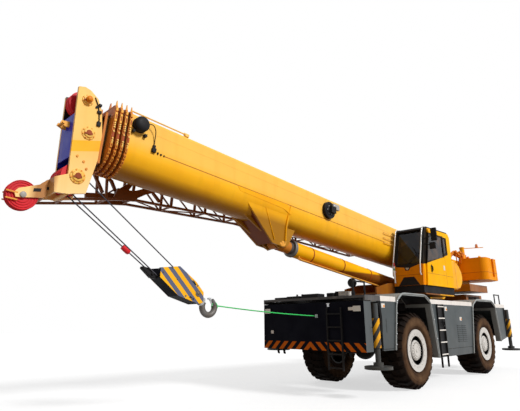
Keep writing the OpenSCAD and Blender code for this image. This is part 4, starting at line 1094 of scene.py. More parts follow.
def front_plate(n=41, m=16, thick=8):
    """With h = w - BRACKET_TOP, the plane u = FRONT_U + FRONT_LEAN * h between the leaning plates, where |y|
    is up to FRONT_HALF + FRONT_TAPER * h, from the belly's circle down to the pin; a second sheet behind it
    along the plane's normal closes it."""
    s, r = np.linspace(-1, 1, n)[:, None], np.linspace(0, 1, m)[None]
    top = np.full_like(s, -150.0)
    for _ in range(6):
        half = np.minimum(np.abs(s) * (FRONT_HALF + FRONT_TAPER * (top - BRACKET_TOP)), 400)
        top = BELLY_CENTRE - np.sqrt(BELLY_RADIUS ** 2 - half ** 2)
    w = top + r * (BRACKET_LOW - top)
    y = s * (FRONT_HALF + FRONT_TAPER * (w - BRACKET_TOP))
    u = FRONT_U + FRONT_LEAN * (w - BRACKET_TOP)
    du, dw = FRONT_NORMAL
    sheets = [on_boom(u + d * du, y, w + d * dw).reshape(-1, 3) for d in (0, thick)]
    faces = grid_faces(n, m)
    i = np.arange(n * m).reshape(n, m)
    rim = np.concatenate([i[:, 0], i[-1, 1:], i[-2::-1, -1], i[0, -2:0:-1]])
    wall = np.stack([rim, np.roll(rim, -1), np.roll(rim, -1) + n * m, rim + n * m], -1)
    return np.concatenate(sheets), faces.tolist() + (faces[:, ::-1] + n * m).tolist() + wall.tolist()


def leaning(u, w, out):
    """A point on the leaning plate's outer face, or a distance out from it. With h = w - BRACKET_TOP, y is
    PLATE_Y + PLATE_LEAN * h below the bracket's top, and PLATE_Y above it."""
    return on_boom(u, PLATE_Y + PLATE_LEAN * np.minimum(w - BRACKET_TOP, 0) + out, w)


def rib(w, u, rise, thick):
    """A rib that stands on the leaning plate: at each height w its foot, its edge and a thickness along u."""
    edges = [leaning(u, w, -6), leaning(u, w, rise), leaning(u + thick, w, rise), leaning(u + thick, w, -6)]
    return capped(np.stack(edges, 1))


doubler = [[10150, 174], [8560, 178], [8400, 30], [8440, -40], [8700, 40], [10060, 76]]
doubler = cut_plate(doubler, 428, 436, on_boom)
run = np.linspace(0, 1, 12)
stiff = rib(170 - 830 * run, 8440 + 60 * np.sin(math.pi * run), (16 + 48 * run) * (1 - 0.4 * run), 22)
crease = rib(np.linspace(60, -700, 10), np.linspace(9330, 8800, 10), np.linspace(2, 26, 10), 14)
piece("bracket_plates", both([doubler, stiff, crease]), "boom", yellow, 30, 0.003)
# The front plate wears brown painted shade over its yellow.
piece("bracket_front", [front_plate()], "boom", shade_brown, 30)

# %% [markdown]
# ## Box and crank of the reel
# The open reel on the boom's side has a grey box beside it and a bright crank over its hub.

# %% Reel fittings
reel_box = block([[6680, 522, 470], [6720, 428, 500]], [[6950, 590, 620], [6760, 530, 590]], on_boom)
piece("reel_box", [reel_box], "boom", rim_grey, 30, 0.012)
crank = pipe([7010, 7010, 6930, 6850], [540, 590, 600, 560], [430, 470, 560, 575], 0.04, 0.014, place=on_boom)
piece("reel_crank", [crank, bolt_ring(REEL_U, 516, REEL_W, 110, 6, 0.016, 0.014, on_boom)], "boom", bright)

# %% [markdown]
# ## Folded jib's front bracket
# Under the boom's front end the folded jib ends in a bracket of plates: a gusset round a pin, braces up to
# the boom and a beam toward the head. Each is an outline along and across the boom, with a thickness.

# %% Jib bracket
JIB_PLATES = {
    "front brace": [[12745, -125], [12710, -85], [12485, -410], [12525, -445]],
    "cranked brace": [[12555, -85], [12515, -50], [12350, -125], [12235, -305], [12275, -330], [12390, -165]],
    "rear brace": [[12230, -285], [11925, 5], [11885, -25], [11995, -230]],
    "gusset": [[12270, -310], [11995, -230], [11870, -210], [11840, -415], [12050, -455], [12250, -465]],
    "beam to the head": [[12835, -520], [12255, -380], [12240, -460], [12820, -610]],
    "tail plate": [[11880, -210], [11500, -5], [11160, 25], [11435, -120], [11590, -195], [11850, -385]],
    "tail brace": [[11460, -135], [11415, -110], [11220, -255], [11275, -285]],
    "short tie": [[12440, -460], [12460, -440], [12300, -285], [12275, -305]],
}
jib_bracket = [cut_plate(outline, -780, -720, on_boom) for outline in JIB_PLATES.values()]
# The bracket wears the jib's brown, which is painted shade.
piece("jib_bracket", jib_bracket, "boom", jib_shade_brown, 30, 0.004)
jib_pin = [(-0.722, 0.034), (-0.700, 0.034), (-0.694, 0.028), (-0.694, 0.006)]
piece("jib_bracket_pin", [turned(jib_pin, on_boom(12175, 0, -400), n=20)], "boom", trim, 35)

# %% [markdown]
# ## Hook block
# The block hangs on falls of rope, lashed back for travel, so falls and block lie at two different slopes.
# Positions are measured along the falls from the head's lower sheaves, and along the block from its upper
# end.

# %% Places on the falls and on the block
ROPE_SLOPE, BLOCK_SLOPE = math.radians(36), math.radians(29)
FALLS_FROM, FALLS_LENGTH = (13420, 0, -642), 2307


def down_slope(origin, slope, d, y, n):
    """Millimetres down a slope to the rear, across the machine and square to the slope, from an origin."""
    d, y, n = metres(d, y, n)
    x = -d * math.cos(slope) - n * math.sin(slope)
    z = -d * math.sin(slope) + n * math.cos(slope)
    return origin + np.stack([x, y, z], -1)


def on_rope(d, y, n):
    """Along the falls from the lower head sheaves, across the machine and across the falls."""
    return down_slope(on_boom(*FALLS_FROM), ROPE_SLOPE, d, y, n)


def on_block(d, y, n):
    """Along the block from its upper end, across the machine and across the block."""
    return down_slope(on_rope(FALLS_LENGTH, 0, 0), BLOCK_SLOPE, d, y, n)


print("hook block's upper end at", on_block(0, 0, 0).round(3))

# %% [markdown]
# ## Fittings of the hook block
# The block has bolts, pin covers and slots on its cheeks, a rope wedge socket on its upper end, and a nut and
# a sprung latch on the hook. Flat parts are outlines with a thickness; covers and nut are turned.

# %% Fittings of the hook block


def pin_cover(d, n, r):
    """A flat cover with a rolled edge and a raised middle, turned about a pin of the block."""
    profile = [(0.168, r), (0.178, r), (0.184, 0.92 * r), (0.184, 0.45 * r), (0.194, 0.40 * r),
               (0.196, 0.34 * r), (0.196, 0.05 * r)]
    return turned(profile, on_block(d, 0, n))


piece("block_pin_covers", both([pin_cover(785, 18, 0.058)]), "hook_block", iron, 35)
block_bolts = on_block([-80, 40, 240, 560, 700, 560, 700], 169, [-60, 120, 0, 150, 140, -170, -140])
piece("block_bolts", both([bolts(block_bolts, ACROSS, 0.016, 0.012)]), "hook_block", iron, 0)
block_slots = [cut_plate(outline, 168, 173, on_block)
               for outline in ([[545, 150], [570, 174], [670, 137], [643, 113]],
                               [[636, -152], [655, -120], [752, -114], [754, -138]])]
piece("block_slots", both(block_slots), "hook_block", trim, 0)
wedge = [[-430, -150], [-300, -110], [-110, -120], [-60, -190], [-180, -235], [-420, -190]]
wedge_pin = rod(on_block(-200, [-85, 85], -165), 0.026, 14)
piece("rope_socket", [cut_plate(wedge, -52, 52, on_block), wedge_pin], "hook_block", black, 40, 0.012)
latch = [[1150, 148], [1215, 160], [1420, 40], [1405, 12], [1240, 108]]
latch_pin = rod(on_block(1180, [-50, 50], 150), 0.018, 12)
piece("hook_latch", [cut_plate(latch, -16, 16, on_block), latch_pin], "hook_block", steel, 40, 0.004)
nut = turned([(1.005, 0.075), (1.010, 0.092), (1.060, 0.092), (1.066, 0.075)], on_block(0, 0, 0),
             on_block(1, 0, 0) - on_block(0, 0, 0), 12)
piece("hook_nut", [nut], "hook_block", steel, 30)

# %% [markdown]
# ## Overhoist weight and lashing line
# A red weight hangs round one fall: its place is where that fall passes a chosen distance ahead. A taut
# green line, tied to the hook by a small loop, runs to the front plate. Both ends are known, and a
# parabola adds a little sag. The line rides on the hook block: on the real machine it is undone when the boom
# luffs.

# %% Weight and line
WEIGHT_X = 6.483
SAG = 0.10
fall_top, fall_low = on_rope(0, 0, -222.6), on_block(240, -42, -172.6)
share = (WEIGHT_X - fall_top[0]) / (fall_low[0] - fall_top[0])
drop_shape = [(-0.09, 0.026), (-0.085, 0.046), (-0.02, 0.050), (0.05, 0.050), (0.075, 0.040), (0.08, 0.022)]
weight = turned(drop_shape, fall_top + share * (fall_low - fall_top), fall_low - fall_top, 24)
piece("overhoist_weight", [weight], "hook_block", red)
tail, bracket = on_block(1240, 0, 0) + [-0.16, 0, 0.03], np.array([1.475, 0.225, 1.793])
s = np.linspace(0, 1, 26)[:, None]
line = tail * (1 - s) + bracket * s - np.array([0, 0, SAG]) * s * (1 - s)
eyelet = np.arange(24) * 2 * math.pi / 24
knot = tail + np.stack([0.07 * np.cos(eyelet), 0.02 * np.sin(2 * eyelet), 0.07 * np.sin(eyelet)], -1)
cords = [rod(line, 0.012, 8), rod(knot, 0.012, 8, True)]
lashing = piece("lashing_line", cords, "hook_block", line_green, 60)
tuple(bracket - tail)
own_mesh(lashing)

# %% [markdown]
# ## Luffing cylinder
# The barrel ends in a dark gland ring, bands hold it, and two oil pipes run along its top. Its axis runs
# from the base pin to the pin under the boom, so all of them come from those two points.

# %% Gland, pipes, bands and pin covers
pin_low, pin_high = at(0, 0, 2700), on_boom(8500, 0, -680)
reach = np.linalg.norm(pin_high - pin_low)
luff_way = (pin_high - pin_low) / reach
luff_up = np.cross(luff_way, [0, -1.0, 0])
gland = [(reach - 0.640, 0.196), (reach - 0.637, 0.212), (reach - 0.565, 0.212), (reach - 0.555, 0.206),
         (reach - 0.553, 0.158)]
piece("luff_gland", [turned(gland, pin_low, luff_way, 40)], "cylinder", iron, 35)
far = np.array([0.55, 0.60, reach - 0.85, reach - 0.78])[:, None]
high = np.array([0.17, 0.225, 0.225, 0.17])[:, None]
oil_line = pin_low + far * luff_way + high * luff_up
oil_pipes = [rod(bent(oil_line + [0, y, 0], 0.04), 0.016) for y in (0.06, 0.11)]
piece("luff_pipes", oil_pipes, "cylinder", amber)
bands = [turned([(d, 0.194), (d, 0.203), (d + 0.035, 0.203), (d + 0.035, 0.194)], pin_low, luff_way, 40)
         for d in np.linspace(0.9, reach - 1.3, 4)]
piece("luff_clamps", bands, "cylinder", seam_brown, 35)
cover = [(0.258, 0.118), (0.272, 0.118), (0.278, 0.108), (0.278, 0.05), (0.286, 0.045), (0.286, 0.01)]
piece("luff_pin_covers", both([turned(cover, pin_high)]), "boom", amber, 35)

# %% [markdown]
# ## Front of the cab
# The cab's front is black round the screen, with a dipped lower edge, bright grab tubes on both pillars
# and a roof visor. Panels on the front are thin plates that follow its slope.

# %% Front panels of the cab


def on_front(y, z, out=0.0):
    """A point on the cab's front: x falls from 1600 to 1520 up to the sill and then to 1200 at the roof."""
    return at(np.interp(z, [2650, 3270, 4360], [1600, 1520, 1200]) + out, y, z)


def front_panel(outline, low, high):
    """An outline (y, z) on the cab's front, between two heights above that face."""
    y, z = np.asarray(outline, float).T
    return capped([on_front(y, z, low), on_front(y, z, high)])


def front_strip(y0, y1, z0, z1, low, high):
    """A rectangle on the cab's front."""
    return front_panel([[y0, z0], [y0, z1], [y1, z1], [y1, z0]], low, high)


dip = [[600, 3268], [600, 3216], [866, 3182], [905, 3086], [1012, 3090], [1061, 3164], [1388, 3268]]
skirt = [[690, 2654], [850, 2896], [1165, 2896], [1345, 2654]]
screen_frame = ((546, 618, 3272, 4352), (1372, 1446, 3272, 4352), (618, 1372, 4255, 4352))
front_black = [front_panel(dip, -4, 5), front_panel(skirt, -4, 8)]
front_black += [front_strip(*edges, -3, 9) for edges in screen_frame]
piece("cab_front_black", front_black, "upper", trim, 30, 0.003)
v_mark = front_panel([[900, 3170], [930, 3110], [990, 3112], [1024, 3166]], 4, 10)
piece("cab_front_v", [v_mark], "upper", steel, 30, 0.002)
visor = [[1195, 4368], [1262, 4345], [1300, 4296], [1292, 4282], [1240, 4310], [1190, 4350]]
rails = [pipe([1120, 1100, -380, -420], y, [4356, 4385, 4385, 4352], 0.04, 0.016) for y in (1420, 580)]
piece("cab_visor_and_rails", [cut_plate(visor, 575, 1415)] + rails, "upper", trim, 40, 0.004)
cab_seams = [front_strip(560, 1436, 2952, 2960, -2, 2), block([-545, 1438, 2990], [75, 1442, 2998])]
piece("cab_seams", cab_seams, "upper", seam_brown, 0)
grab = [pipe([1080, 1200, 1300, 1620, 1660, 1600], y, [4362, 4400, 4330, 3290, 2960, 2935], 0.07, 0.017, 12)
        for y in (1408, 566)]
piece("cab_grab_tubes", grab, "upper", bright, 50)

# %% [markdown]
# ## Mirrors and lamps of the cab
# Two mirrors stand out on bent arms at the left pillar, and beside the right one rises a load lamp: a
# stack of short round lenses on a post. A mirror is a box with eased edges and a thin bright plate.

# %% Mirrors and lamps
arms = [pipe([1283, 1300, 1303, 1303], [1442, 1560, 1749, 1749], [3990, 4040, 4060, 4150], 0.05, 0.013),
        pipe([1283, 1303, 1303], [1442, 1680, 1680], [3840, 3790, 3850], 0.05, 0.013)]
mirror_heads = block([[1270, 1662, 3900], [1277, 1590, 3665]], [[1337, 1836, 4278], [1331, 1780, 3865]])
mirrors = piece("cab_mirror_heads", [mirror_heads], "upper", trim, 40, 0.022)
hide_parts("cab_mirrors")
piece("cab_mirror_arms", arms, "upper", trim, 50)
mirror_glass = block([[1265, 1678, 3920], [1272, 1604, 3680]], [[1269, 1820, 4258], [1276, 1766, 3850]])
piece("cab_mirror_glass", [mirror_glass], "upper", bright, 0)
piece("cab_marker_lamp", [block([985, 1440, 4225], [1095, 1500, 4310])], "upper", yellow, 40, 0.012)


def stack_part(low, high, r):
    """A short round lens between two heights, with drawn-in ends."""
    profile = [(low, 0.6 * r), (low + 0.006, r), (high - 0.006, r), (high, 0.6 * r)]
    return turned(profile, at(1648, 606, 0), UPWARD, 20)


lamp_arms = block([[1585, 596, 2800], [1560, 596, 3060]], [[1640, 616, 2825], [1640, 616, 3085]])
lamp_body = [stack_part(2.735, 3.11, 0.024), stack_part(3.165, 3.235, 0.022), stack_part(3.33, 3.36, 0.018)]
piece("load_lamp_body", lamp_body + [lamp_arms], "upper", bright)
piece("load_lamp_green", [stack_part(3.105, 3.17, 0.027)], "upper", lens_green)
piece("load_lamp_red", [stack_part(3.23, 3.335, 0.027)], "upper", lamp_red)

# %% [markdown]
# ## Door, wiper and controls
# The sliding door has a looped handle with a grip, a blank plate and seams; a wiper lies on the screen,
# and a desk with levers shows through the glass. What sits on the door rides on the door's body.

# %% Door fittings and controls
grip = pipe(1090, [1488, 1530, 1530, 1488], [3210, 3200, 3080, 3066], 0.03, 0.014)
piece("door_handle", [hoop(1090, 1493, 3138, 34, 105, 0.013, 32), grip], "door", trim)
piece("door_plate", [block([150, 1490, 3150], [250, 1494, 3290])], "door", blank_white, 30, 0.001)
door_seams = [block([95, 1489, 2990], [1395, 1493, 2998]), block([84, 1489, 2672], [90, 1492.5, 3560])]
piece("door_seams", door_seams, "door", seam_brown, 0)
wiper_arm = bent(on_front([980, 985, 1260, 1300], [3200, 3290, 3560, 3620], 26), 0.04)
wiper_blade = on_front([1120, 1330], [3760, 3420], 20)
piece("cab_wiper", [rod(wiper_arm, 0.009, 8), rod(wiper_blade, 0.008, 8)], "upper", trim)
desk = [[1180, 2700], [1480, 2700], [1440, 3150], [1400, 3230], [1300, 3230], [1210, 3120]]
screen = block([1180, 1190, 3220], [1215, 1340, 3420])
levers = [pipe([900, 900, 870], y, [2900, 3160, 3250], 0.05, 0.014, 8) for y in (760, 1220)]
piece("cab_controls", [cut_plate(desk, 800, 1180), screen] + levers, "upper", trim, 40, 0.01)

# %% [markdown]
# ## Carrier sides
# Between the arches there are pressed louvres and blank plates with an orange mark. A louvre is a small
# wedge drawn along the panel above a dark slot, repeated in rows and columns.

# %% Louvres and plates
LOUVRE_ROWS = 1062 + 57 * np.arange(9)
LOUVRE_COLUMNS = ((-340, -40), (-715, -390))


def drawn_x(profile, x0, x1):
    """A profile (y, z) in millimetres drawn along the machine from x0 to x1."""
    y, z = np.asarray(profile, float).T
    return capped([at(x0, y, z), at(x1, y, z)])


openings = [block([a, 1578, z], [b, 1582, z + 20]) for z in LOUVRE_ROWS for a, b in LOUVRE_COLUMNS]
hoods = [drawn_x([[1579, z + 19], [1597, z + 10], [1599, z + 14], [1579, z + 36]], a, b)
         for z in LOUVRE_ROWS for a, b in LOUVRE_COLUMNS]
piece("side_slots", both(openings), "carrier", trim, 0)
piece("side_louvres", both(hoods), "carrier", grey, 20)
marks = block([[4090, 1582, 1980], [570, 1582, 1954], [-440, 1582, 1684]],
              [[4150, 1584.5, 2030], [630, 1584.5, 2010], [-380, 1584.5, 1734]])
piece("label_marks", [marks], "carrier", weight_orange, 30, 0.001)
side_labels = block([[4080, 1579, 1968], [560, 1579, 1940], [-450, 1579, 1672]],
                    [[4235, 1583, 2066], [715, 1583, 2062], [-295, 1583, 1775]])
front_labels = block([[4948, -1530, 1880], [4948, -1300, 1370], [4948, 1140, 1905]],
                     [[4953, -1390, 1945], [4953, -1210, 1450], [4953, 1280, 1975]])
piece("blank_plates", [side_labels, front_labels], "carrier", blank_white, 30, 0.001)

# %% [markdown]
# ## Ladders, panel lines and jack hoses
# The side ladder has bright treads before a dark back and a looped handle; the front ladder's treads are
# black as painted shade. Hoses drop beside the jacks. Treads are one array of boxes, a step apart.

# %% Ladders, panel lines and hoses
TREAD_TALL = 33
side_z, front_z = 757 + 320 * np.arange(5), 617 + 300 * np.arange(5)
side_treads = block([[872, 1606, z] for z in side_z], [[1278, 1628, z + TREAD_TALL] for z in side_z])
shaded_front_treads = block([[4976, 552, z] for z in front_z], [[4998, 948, z + TREAD_TALL] for z in front_z])
piece("ladder_treads", both([side_treads]), "carrier", blank_white, 30, 0.004)
# Painted shade: the front treads are black.
piece("shaded_front_treads", [shaded_front_treads], "carrier", black, 30, 0.004)
ladder_back = both([block([890, 1580, 720], [1260, 1586, 2118])])
ladder_handle = both([hoop(985, 1632, 1597, 60, 75, 0.014)])
piece("ladder_backs", ladder_back + ladder_handle, "carrier", trim)
panel_lines = block([[-1050, 1579, 895], [500, 1579, 895], [4700, 1579, 1440], [4700, 1579, 1520],
                     [3790, 1579, 1030], [4060, 1579, 1400]],
                    [[450, 1583, 905], [860, 1583, 905], [4745, 1584, 1452], [4745, 1584, 1532],
                     [4240, 1583, 1040], [4068, 1583, 1720]])
piece("panel_lines", both([panel_lines]), "carrier", black, 0)
front_drop, rear_drop = np.array([40, -20, -60, -55, -40]), np.array([0, 30, 40, 20])
drops = [pipe(x + front_drop, 1594, [2112, 2010, 1780, 1560, 1400], 0.12, 0.017) for x in (4350, 4396)]
drops += [pipe(x + rear_drop, 1594, [2112, 1950, 1500, 1120], 0.12, 0.017) for x in (-4420, -4460)]
piece("jack_pipes", both(drops), "carrier", trim, 50)

# %% [markdown]
# ## Wheel arches
# Each arch has a rolled lip held by clips, and a dark lining under it that is painted shade. Lip and lining
# share one outline
# for each arch: the lip is a round bar along it, and the lining is the same line drawn in towards the axle.

# %% Arch linings, lips and clips
FRONT_ARCH = [[3535, 2150], [3240, 2340], [1930, 2340], [1630, 2150]]
REAR_ARCH = [[-1410, 2150], [-1780, 2340], [-3220, 2340], [-3520, 2150]]
LIP_Y = 1602


def shade_liner(points, axle):
    """A thin lining under a wheel arch, black as painted shade: its edge drawn in towards the axle by two
    factors, with a width.
    """
    p, hub = np.asarray(points, float), np.array([axle, AXLE_HEIGHT])
    return cut_plate(np.concatenate([hub + (p - hub) * 0.972, (hub + (p - hub) * 0.966)[::-1]]), 900, 1590)


def arch_lip(points):
    """A rolled rubber edge along the outer edge of an arch."""
    x, z = np.asarray(points, float).T
    return rod(bent(at(x, LIP_Y, z), 0.16, 7), 0.022)


shade_sheets = [shade_liner([[3610, 1750]] + FRONT_ARCH + [[1566, 1750]], FRONT_AXLE), shade_liner(REAR_ARCH, REAR_AXLE)]
# Painted shade: the linings are black sheets for the shade under the arches.
piece("arch_shade_sheets", both(shade_sheets), "carrier", black, 30)
lips = [arch_lip([[3750, 1000]] + FRONT_ARCH + [[1400, 700]]),
        arch_lip([[-1050, 700]] + REAR_ARCH + [[-3700, 970]])]
piece("arch_lips", both(lips), "carrier", lip_grey, 60)
clip_at = [[3725, 1130], [3680, 1370], [3635, 1610], [3590, 1850], [3545, 2090], [1560, 1700], [1480, 1200]]
lip_clips = block([[x - 26, 1590, z - 14] for x, z in clip_at], [[x + 26, 1628, z + 14] for x, z in clip_at])
piece("arch_clips", both([lip_clips]), "carrier", steel, 30, 0.003)

# %% [markdown]
# ## Front end
# The front plate carries lamps in frames, a lashing eye and a small bracket with a cross bar. A frame is
# four bars round a lamp, and the eye is a closed round bar.

# %% Front plate fittings
lamp_frame = block([[4950, 1282, 1872], [4950, 1472, 1872], [4950, 1282, 1992], [4950, 1282, 1872]],
                   [[4974, 1298, 2008], [4974, 1488, 2008], [4974, 1488, 2008], [4974, 1488, 1888]])
piece("lamp_frames", both([lamp_frame]), "carrier", trim, 30, 0.003)
eye_plates = block([[4949, 190, 1755], [4949, 560, 2000]], [[4962, 260, 1831], [4975, 620, 2085]])
cross_bar = rod(at(4965, [540, 640], 2075), 0.012, 8)
eye_hoop = hoop(4978, 225, 1793, 26, 34, 0.010)
piece("lashing_eye", [eye_hoop, eye_plates, cross_bar], "carrier", steel, 40, 0.003)

# %% [markdown]
# ## Deck
# On the deck stand low boxes, a grating in a curb, pins, a pale cage and a round mirror on a post. Studs
# hold the deck plates, and tow hooks hang below. Grating and cage are rows of thin bars, each one array.

# %% Boxes, grating, cage and mirror on the deck
DECK = 2239
low_boxes = block([[4560, -1180, DECK], [4700, -760, DECK], [4640, -260, DECK], [4380, 300, DECK]],
                  [[4930, -800, 2282], [4930, -330, 2296], [4930, 260, 2330], [4620, 500, 2350]])
piece("deck_boxes", [low_boxes], "carrier", black, 30, 0.012)
bars = 24 * np.arange(15)
grating = block([[4180 + x, 520, 2240] for x in bars], [[4188 + x, 820, 2372] for x in bars])
curb = block([[4160, 505, DECK], [4160, 820, DECK], [4150, 505, DECK], [4530, 505, DECK]],
             [[4545, 520, 2380], [4545, 835, 2380], [4165, 835, 2380], [4545, 835, 2380]])
piece("deck_grating", [grating, curb], "carrier", black, 20)
deck_pin = [(2.235, 0.03), (2.30, 0.03), (2.305, 0.022), (2.335, 0.022), (2.34, 0.014)]
piece("deck_pins", [turned(deck_pin, at(4870, y, 0), UPWARD, 16) for y in (-440, -270)], "carrier", trim, 35)
tow_hook = [[4690, 1010], [4900, 1010], [4925, 960], [4905, 885], [4860, 872], [4850, 905], [4872, 930],
            [4862, 962], [4720, 960]]
piece("tow_hooks", both([cut_plate(tow_hook, y, y + 40) for y in (880, 1080)]), "carrier", black, 30, 0.006)
uprights = 46 * np.arange(7)
cage = [block([[4600, 724 + y, DECK] for y in uprights], [[4700, 738 + y, 2352] for y in uprights]),
        block([[4600, 720, 2280], [4600, 720, 2338]], [[4704, 1022, 2292], [4704, 1022, 2350]])]
piece("deck_cage", cage, "carrier", blank_white, 20, 0.002)
mirror_post = pipe([4650, 4650, 4670], 1120, [DECK, 2470, 2520], 0.05, 0.016)
dish = [(-0.030, 0.050), (-0.012, 0.095), (0.012, 0.110), (0.020, 0.106), (0.026, 0.080), (0.030, 0.020)]
mirror_dish = turned(dish, at(4690, 1120, 2545), (0.9, 0.3, -0.1))
piece("deck_mirror", [mirror_post, mirror_dish], "carrier", trim)
studs = np.stack(np.meshgrid(np.arange(3710, 4100, 130), [-1225, -1029, 1029, 1225]), -1).reshape(-1, 2)
piece("deck_studs", [bolts(at(*studs.T, DECK), UPWARD, 0.02, 0.012)], "carrier", steel, 0)

# %% [markdown]
# ## Rear lamps and engine hood
# The back shows red and amber lenses, which are thin boxes with eased edges. The hood has louvres on
# its sides, drawn like those of the carrier, and lines across its top.

# %% Rear lamps and hood louvres
red_lenses = block([[-4974, 1010, 1400], [-4974, 1240, 1400]], [[-4968, 1140, 1500], [-4968, 1290, 1500]])
piece("rear_red_lenses", both([red_lenses]), "carrier", lamp_red, 20, 0.004)
amber_lens = block([-4974, 1150, 1400], [-4968, 1230, 1500])
piece("rear_amber_lenses", both([amber_lens]), "carrier", lamp_amber, 20, 0.004)
slats = both([drawn_x([[838, z + 8], [856, z], [857, z + 4], [838, z + 24]], -4300, -3200)
              for z in 2322 + 26 * np.arange(8)])
line_x = -4330 + 190 * np.arange(7)
hood_lines = block([[x, -800, 2589] for x in line_x], [[x + 100, 800, 2597] for x in line_x])
piece("hood_louvres", slats + [hood_lines], "carrier", black, 20)

# %% [markdown]
# ## Tank and pipes behind the cab
# A rounded tank stands behind the cab, and a bundle of hoses lies over the boom foot to a motor box. The
# hoses are pipes through the same few stations; small steps that repeat at different counts spread them,
# so no two lie alike.

# %% Tank, hoses and motor box
TANK_SIDE = [[-1020, 3640], [-1480, 3606], [-1790, 3480], [-1970, 3270], [-2010, 3100], [-1950, 2900],
             [-1760, 2730], [-1420, 2662], [-1020, 2662]]
piece("hydraulic_tank", [cut_plate(TANK_SIDE, 531, 1180)], "upper", yellow, 40, 0.05)


def strap(x):
    """A band over the tank's outer face, its top following the tank's slope."""
    top = 3622 - 0.1 * abs(x + 1100)
    return cut_plate([[x, 2668], [x, top], [x - 40, top - 4], [x - 40, 2668]], 1178, 1186)


def hose(i):
    """The hose of number i, from the tank over the boom foot to the motor box."""
    x = [-1560 - 22 * i, -2250, -2760, -3150, -3640 - 25 * (i % 5), -3780]
    y = [640 + 36 * (i % 6), 600 + 26 * (i % 5), 566 + 24 * (i % 6), 580 + 28 * (i % 4), 570 + 22 * (i % 6),
         560]
    z = [3560, 3760 + 42 * (i % 4), 3990 + 36 * (i % 6), 4010 + 44 * ((i + 2) % 5), 3930 + 30 * (i % 3),
         3700 + 25 * (i % 4)]
    return pipe(x, y, z, 0.16, 0.025, 8)


filler = [(3.58, 0.07), (3.66, 0.07), (3.665, 0.085), (3.70, 0.085), (3.706, 0.07)]
tank_fittings = [strap(-1150), strap(-1420), turned(filler, at(-1200, 860, 0), UPWARD, 24)]
piece("tank_fittings", tank_fittings, "upper", amber, 40, 0.003)
piece("upper_pipes", [hose(i) for i in range(12)], "upper", hose_orange, 50)
motor = [(3.925, 0.085), (4.30, 0.085), (4.31, 0.075), (4.33, 0.075), (4.335, 0.092), (4.40, 0.092),
         (4.408, 0.08), (4.408, 0.01)]
piece("winch_motor", [turned(motor, at(-3740, 620, 0), UPWARD, 28)], "upper", yellow, 35)
motor_box = block([[-3960, 532, 3600], [-3900, 545, 4120]], [[-3690, 680, 4130], [-3750, 660, 4330]])
coupling = [(-0.05, 0.045), (-0.045, 0.06), (0.045, 0.06), (0.05, 0.045)]
coupled_at = ((-2900, 4130), (-3100, 4060), (-3300, 4150), (-3480, 4040), (-3560, 4120), (-4050, 4010))
couplings = [turned(coupling, at(x, 690, z), (0.2, 1, 0.3), 16) for x, z in coupled_at]
stays = [pipe([x, x, x + 60], [531, 690, 690], [3700, 3760, 4110], 0.06, 0.02, 8) for x in (-2960, -3360)]
piece("motor_box", [motor_box] + couplings + stays, "upper", hose_orange, 40, 0.01)

# %% [markdown]
# ## Beacon and counterweight
# A bar carries an amber beacon above the counterweight. The counterweight shows the joint of its two slabs,
# a thin bead that follows its outline in plan with an arc at the corner, and has two lifting eyes.

# %% Beacon, slab joint and lifting eyes
BEACON = at(-4180, 1020, 0)
CORNER_RADIUS = 220
bar = pipe([-3800, -3800, -4350], [620, 620, 1200], [4310, 4365, 4405], 0.05, 0.014, 8)
base = turned([(4.395, 0.05), (4.415, 0.06), (4.43, 0.06), (4.435, 0.05)], BEACON, UPWARD, 24)
piece("beacon_bar", [bar, base], "upper", amber)
dome = turned([(4.43, 0.045), (4.45, 0.05), (4.50, 0.046), (4.53, 0.034), (4.542, 0.012)], BEACON, UPWARD, 24)
piece("beacon_lens", [dome], "upper", lamp_amber, 50)
arc = np.radians(np.arange(0, 91, 15.0))
corner = np.stack([-3670 + CORNER_RADIUS * np.cos(arc), 1280 + CORNER_RADIUS * np.sin(arc)], -1)
plan = np.concatenate([[[-3450, 575]], corner, [[-4580, 1500], [-4880, 1150]]])
plan = np.concatenate([plan, plan[::-1] * [1, -1]])
piece("weight_joint", [rod(at(*plan.T, 3390), 0.006, 6)], "upper", seam_brown)
lift_eye = pipe([-3800, -3800, -3980, -3980], 1180, [3928, 4010, 4010, 3928], 0.05, 0.022)
piece("weight_eyes", both([lift_eye]), "upper", yellow, 50)

# %% [markdown]
# ## Winches and boom foot
# The rope lies on two winch drums side by side as a helix of fourteen turns each. Bolts stand round the
# drums' flange and round the boom's foot pin.

# %% Winch rope and bolts
DRUM_TURNS = 14
WINCH_X, WINCH_Z = -3720, 3550
LAID_RADIUS, LAID_WIDTH, FLANGE_RADIUS = 224, 390, 270
turns = np.linspace(0, DRUM_TURNS * 2 * math.pi, 420)
x, z = WINCH_X + LAID_RADIUS * np.cos(turns), WINCH_Z + LAID_RADIUS * np.sin(turns)
winch_rope = [rod(at(x, y + LAID_WIDTH * turns / turns[-1], z), 0.013, 6) for y in (-425, 30)]
piece("winch_rope", winch_rope, "upper", rope_dark, 60)
every = turns[:60:5]
flange = at(WINCH_X + FLANGE_RADIUS * np.cos(every), 461, WINCH_Z + FLANGE_RADIUS * np.sin(every))
piece("winch_bolts", both([bolts(flange, ACROSS, 0.018, 0.02)]), "upper", steel, 0)
piece("boom_foot_bolts", both([bolt_ring(-2350, 541, 3450, 150, 10, 0.018, 0.02)]), "upper", steel, 0)

# %% [markdown]
# ## Steps and ropes on the boom
# Three bent steps lead up the boom's side, and two hoist ropes run along its top over rollers.

# %% Steps, ropes and rollers
step_u, step_y = [4230, 4230, 3700, 3700], [432, 480, 480, 432]
boom_steps = [pipe(step_u, step_y, w, 0.05, 0.012, 8, on_boom) for w in (150, 300, 450)]
piece("boom_steps", boom_steps, "boom", pale_yellow)
ropes = [rod(on_boom([-250, 6000, 12690], y, [792, 790, 800]), 0.011, 6) for y in (-60, 60)]
roller = [(-0.14, 0.020), (-0.14, 0.034), (0.14, 0.034), (0.14, 0.020)]
rollers = [turned(roller, on_boom(u, 0, 742), n=16) for u in (300, 6000, 12500)]
piece("boom_top_ropes", ropes + rollers, "boom", rope_dark, 50)

